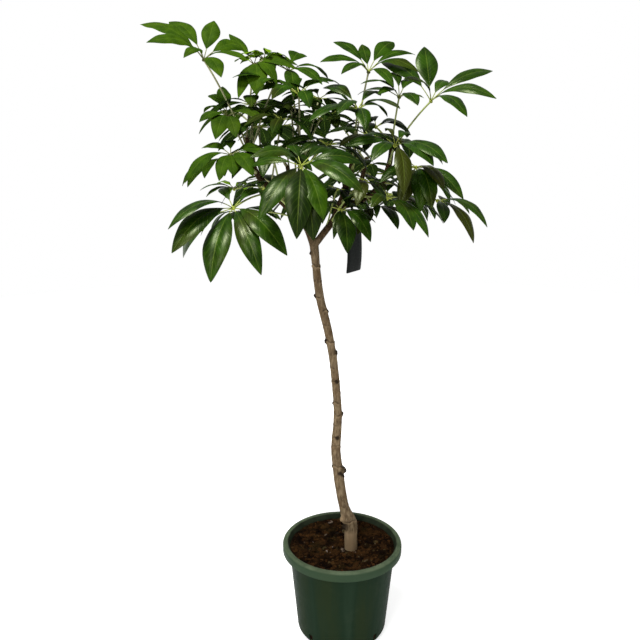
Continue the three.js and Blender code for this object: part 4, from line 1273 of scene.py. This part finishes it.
def build_leaves():
    backs = [leaf_under_material(), stalk_material()]
    grown = [leaf_top_material("leaf_top", 0.16, 0.0), *backs]
    fresh = [leaf_top_material("leaf_top_young", 0.04, 0.32), *backs]
    for limb, leaves in LEAVES.items():
        stem = Stem(LIMBS[limb])
        for number, leaf in enumerate(leaves, start=1):
            build_leaf(f"{limb}_leaf_{number}", leaf, stem, grown, fresh)


# ---- tag ----------------------------------------------------------------------------------------


def strip_ring(centre, across, normal, half, thickness):
    """The section of a flat strip with rounded edges."""
    edge = min(half, thickness / 2)
    upper = [(half - edge + edge * math.cos(a), edge * math.sin(a)) for a in (0, math.pi / 4, math.pi / 2)]
    upper += [(half * k, thickness / 2) for k in (0.5, 0.0, -0.5)]
    upper += [(-x, y) for x, y in reversed(upper[:3])]
    outline = upper + [(x, -y) for x, y in reversed(upper[1:-1])]
    return [centre + across * x + normal * y for x, y in outline]


def tag_rows(neck):
    """How far down the tag each section is, and half its width there: the neck, the shoulder, the plate."""
    narrow, half = TAG["neck_width"] / 2, TAG["width"] / 2
    shoulder, corner = TAG["shoulder"], TAG["corner"]
    foot = neck + TAG["length"]
    rows = [(neck * step, narrow) for step in walk(8)[:-1]]
    for step in walk(6):
        swell = math.sin(math.pi / 2 * step)
        rows.append((neck + shoulder * step, lerp(narrow + TAG["neck_flare"], half, swell)))
    rows += [(lerp(neck + shoulder, foot - corner, step), half) for step in walk(12)[1:]]
    ends = [math.radians(turn) for turn in (30, 60, 90)]
    return rows + [(foot - corner + corner * math.sin(a), half - corner + corner * math.cos(a)) for a in ends]


def build_tag():
    """A band round the limb, and the plate that hangs from it by its neck."""
    stem = Stem(LIMBS[TAG["limb"]])
    centre, direction = stem.curve.at(TAG["along"]), stem.curve.direction(TAG["along"])
    wall, width = TAG["loop_wall"], TAG["loop_width"]
    radius = stem.radius(TAG["along"]) + TAG["loop_gap"] + wall / 2
    facing = aim(-90 + TAG["turn"], 0)
    across = facing.cross(UP)
    shape = Shape()
    spin = UP.rotation_difference(direction)
    band_rings = []
    for a in circle(40):
        out = spin @ Vector((math.cos(a), math.sin(a), 0))
        band_rings.append(strip_ring(centre + out * radius, direction, out, width / 2, wall))
    shape.loft(band_rings, ends="joined")

    neck_top = centre + facing * radius
    plate_top = Vector(TAG["plate_top"])
    neck = (plate_top - neck_top).length
    rings = []
    for down, half in tag_rows(neck):
        if down < neck:
            place = lerp(neck_top, plate_top, down / neck)
            along = (plate_top - neck_top).normalized()
        else:
            share = (down - neck) / TAG["length"]
            curl = TAG["curl"] * math.sin(math.pi * share) * share
            place = plate_top - UP * (down - neck) + facing * curl
            along = -UP
        normal = along.cross(across).normalized()
        rings.append(strip_ring(place, across, normal, half, TAG["thickness"]))
    shape.loft(rings)
    add_piece("blank_tag", shape.mesh("tag", 40), [tag_material()], ["plant_tag"])


# ---- studio -------------------------------------------------------------------------------------


def build_floor():
    """A round pale floor, as bright as the sky beyond its edge, so that no view has a horizon."""
    shape = Shape()
    shape.loft(turned_rings([(radius, 0.0) for radius in FLOOR_RADII], 96), ends="open")
    mesh = shape.mesh("floor")
    mesh.materials.append(floor_material())
    new_object("floor", mesh)


def add_area_light(name, place, size, power):
    data = bpy.data.lights.new(name, "AREA")
    data.shape = "DISK"
    data.size = size
    data.energy = power
    light = new_object(name, data)
    light.location = place
    light.rotation_euler = (Vector(LIT_SPOT) - Vector(place)).to_track_quat("-Z", "Y").to_euler()


def build_sky():
    """A white surround that fades to a dimmer ceiling, so that glossy leaves stay green."""
    world = bpy.data.worlds.new("soft_sky")
    world.use_nodes = True
    nodes, links = world.node_tree.nodes, world.node_tree.links
    way = nodes.new("ShaderNodeSeparateXYZ")
    links.new(nodes.new("ShaderNodeTexCoord").outputs["Generated"], way.inputs["Vector"])
    fade = nodes.new("ShaderNodeMapRange")
    fade.interpolation_type = "SMOOTHSTEP"
    for socket, value in SKY.items():
        fade.inputs[socket].default_value = value
    links.new(way.outputs["Z"], fade.inputs["Value"])
    links.new(fade.outputs["Result"], nodes["Background"].inputs["Strength"])
    nodes["Background"].inputs["Color"].default_value = (1.0, 1.0, 1.0, 1.0)
    bpy.context.scene.world = world


def build_studio():
    build_floor()
    build_sky()
    for name, (place, size, power) in LIGHTS.items():
        add_area_light(name, place, size, power)


def build_camera():
    data = bpy.data.cameras.new("camera")
    data.sensor_width = 36
    data.lens = data.sensor_width * CAMERA["focal"] / CAMERA["image"]
    camera = new_object("camera", data)
    camera.location = CAMERA["place"]
    camera.rotation_euler = (math.radians(90 - CAMERA["look_down"]), 0, 0)
    bpy.context.scene.camera = camera


# ---- the whole scene ----------------------------------------------------------------------------

build_camera()
build_studio()
build_pot()
build_mix()
build_wood()
build_leaves()
build_tag()
bpy.context.scene.view_settings.view_transform = "Standard"

bpy.context.view_layer.update()
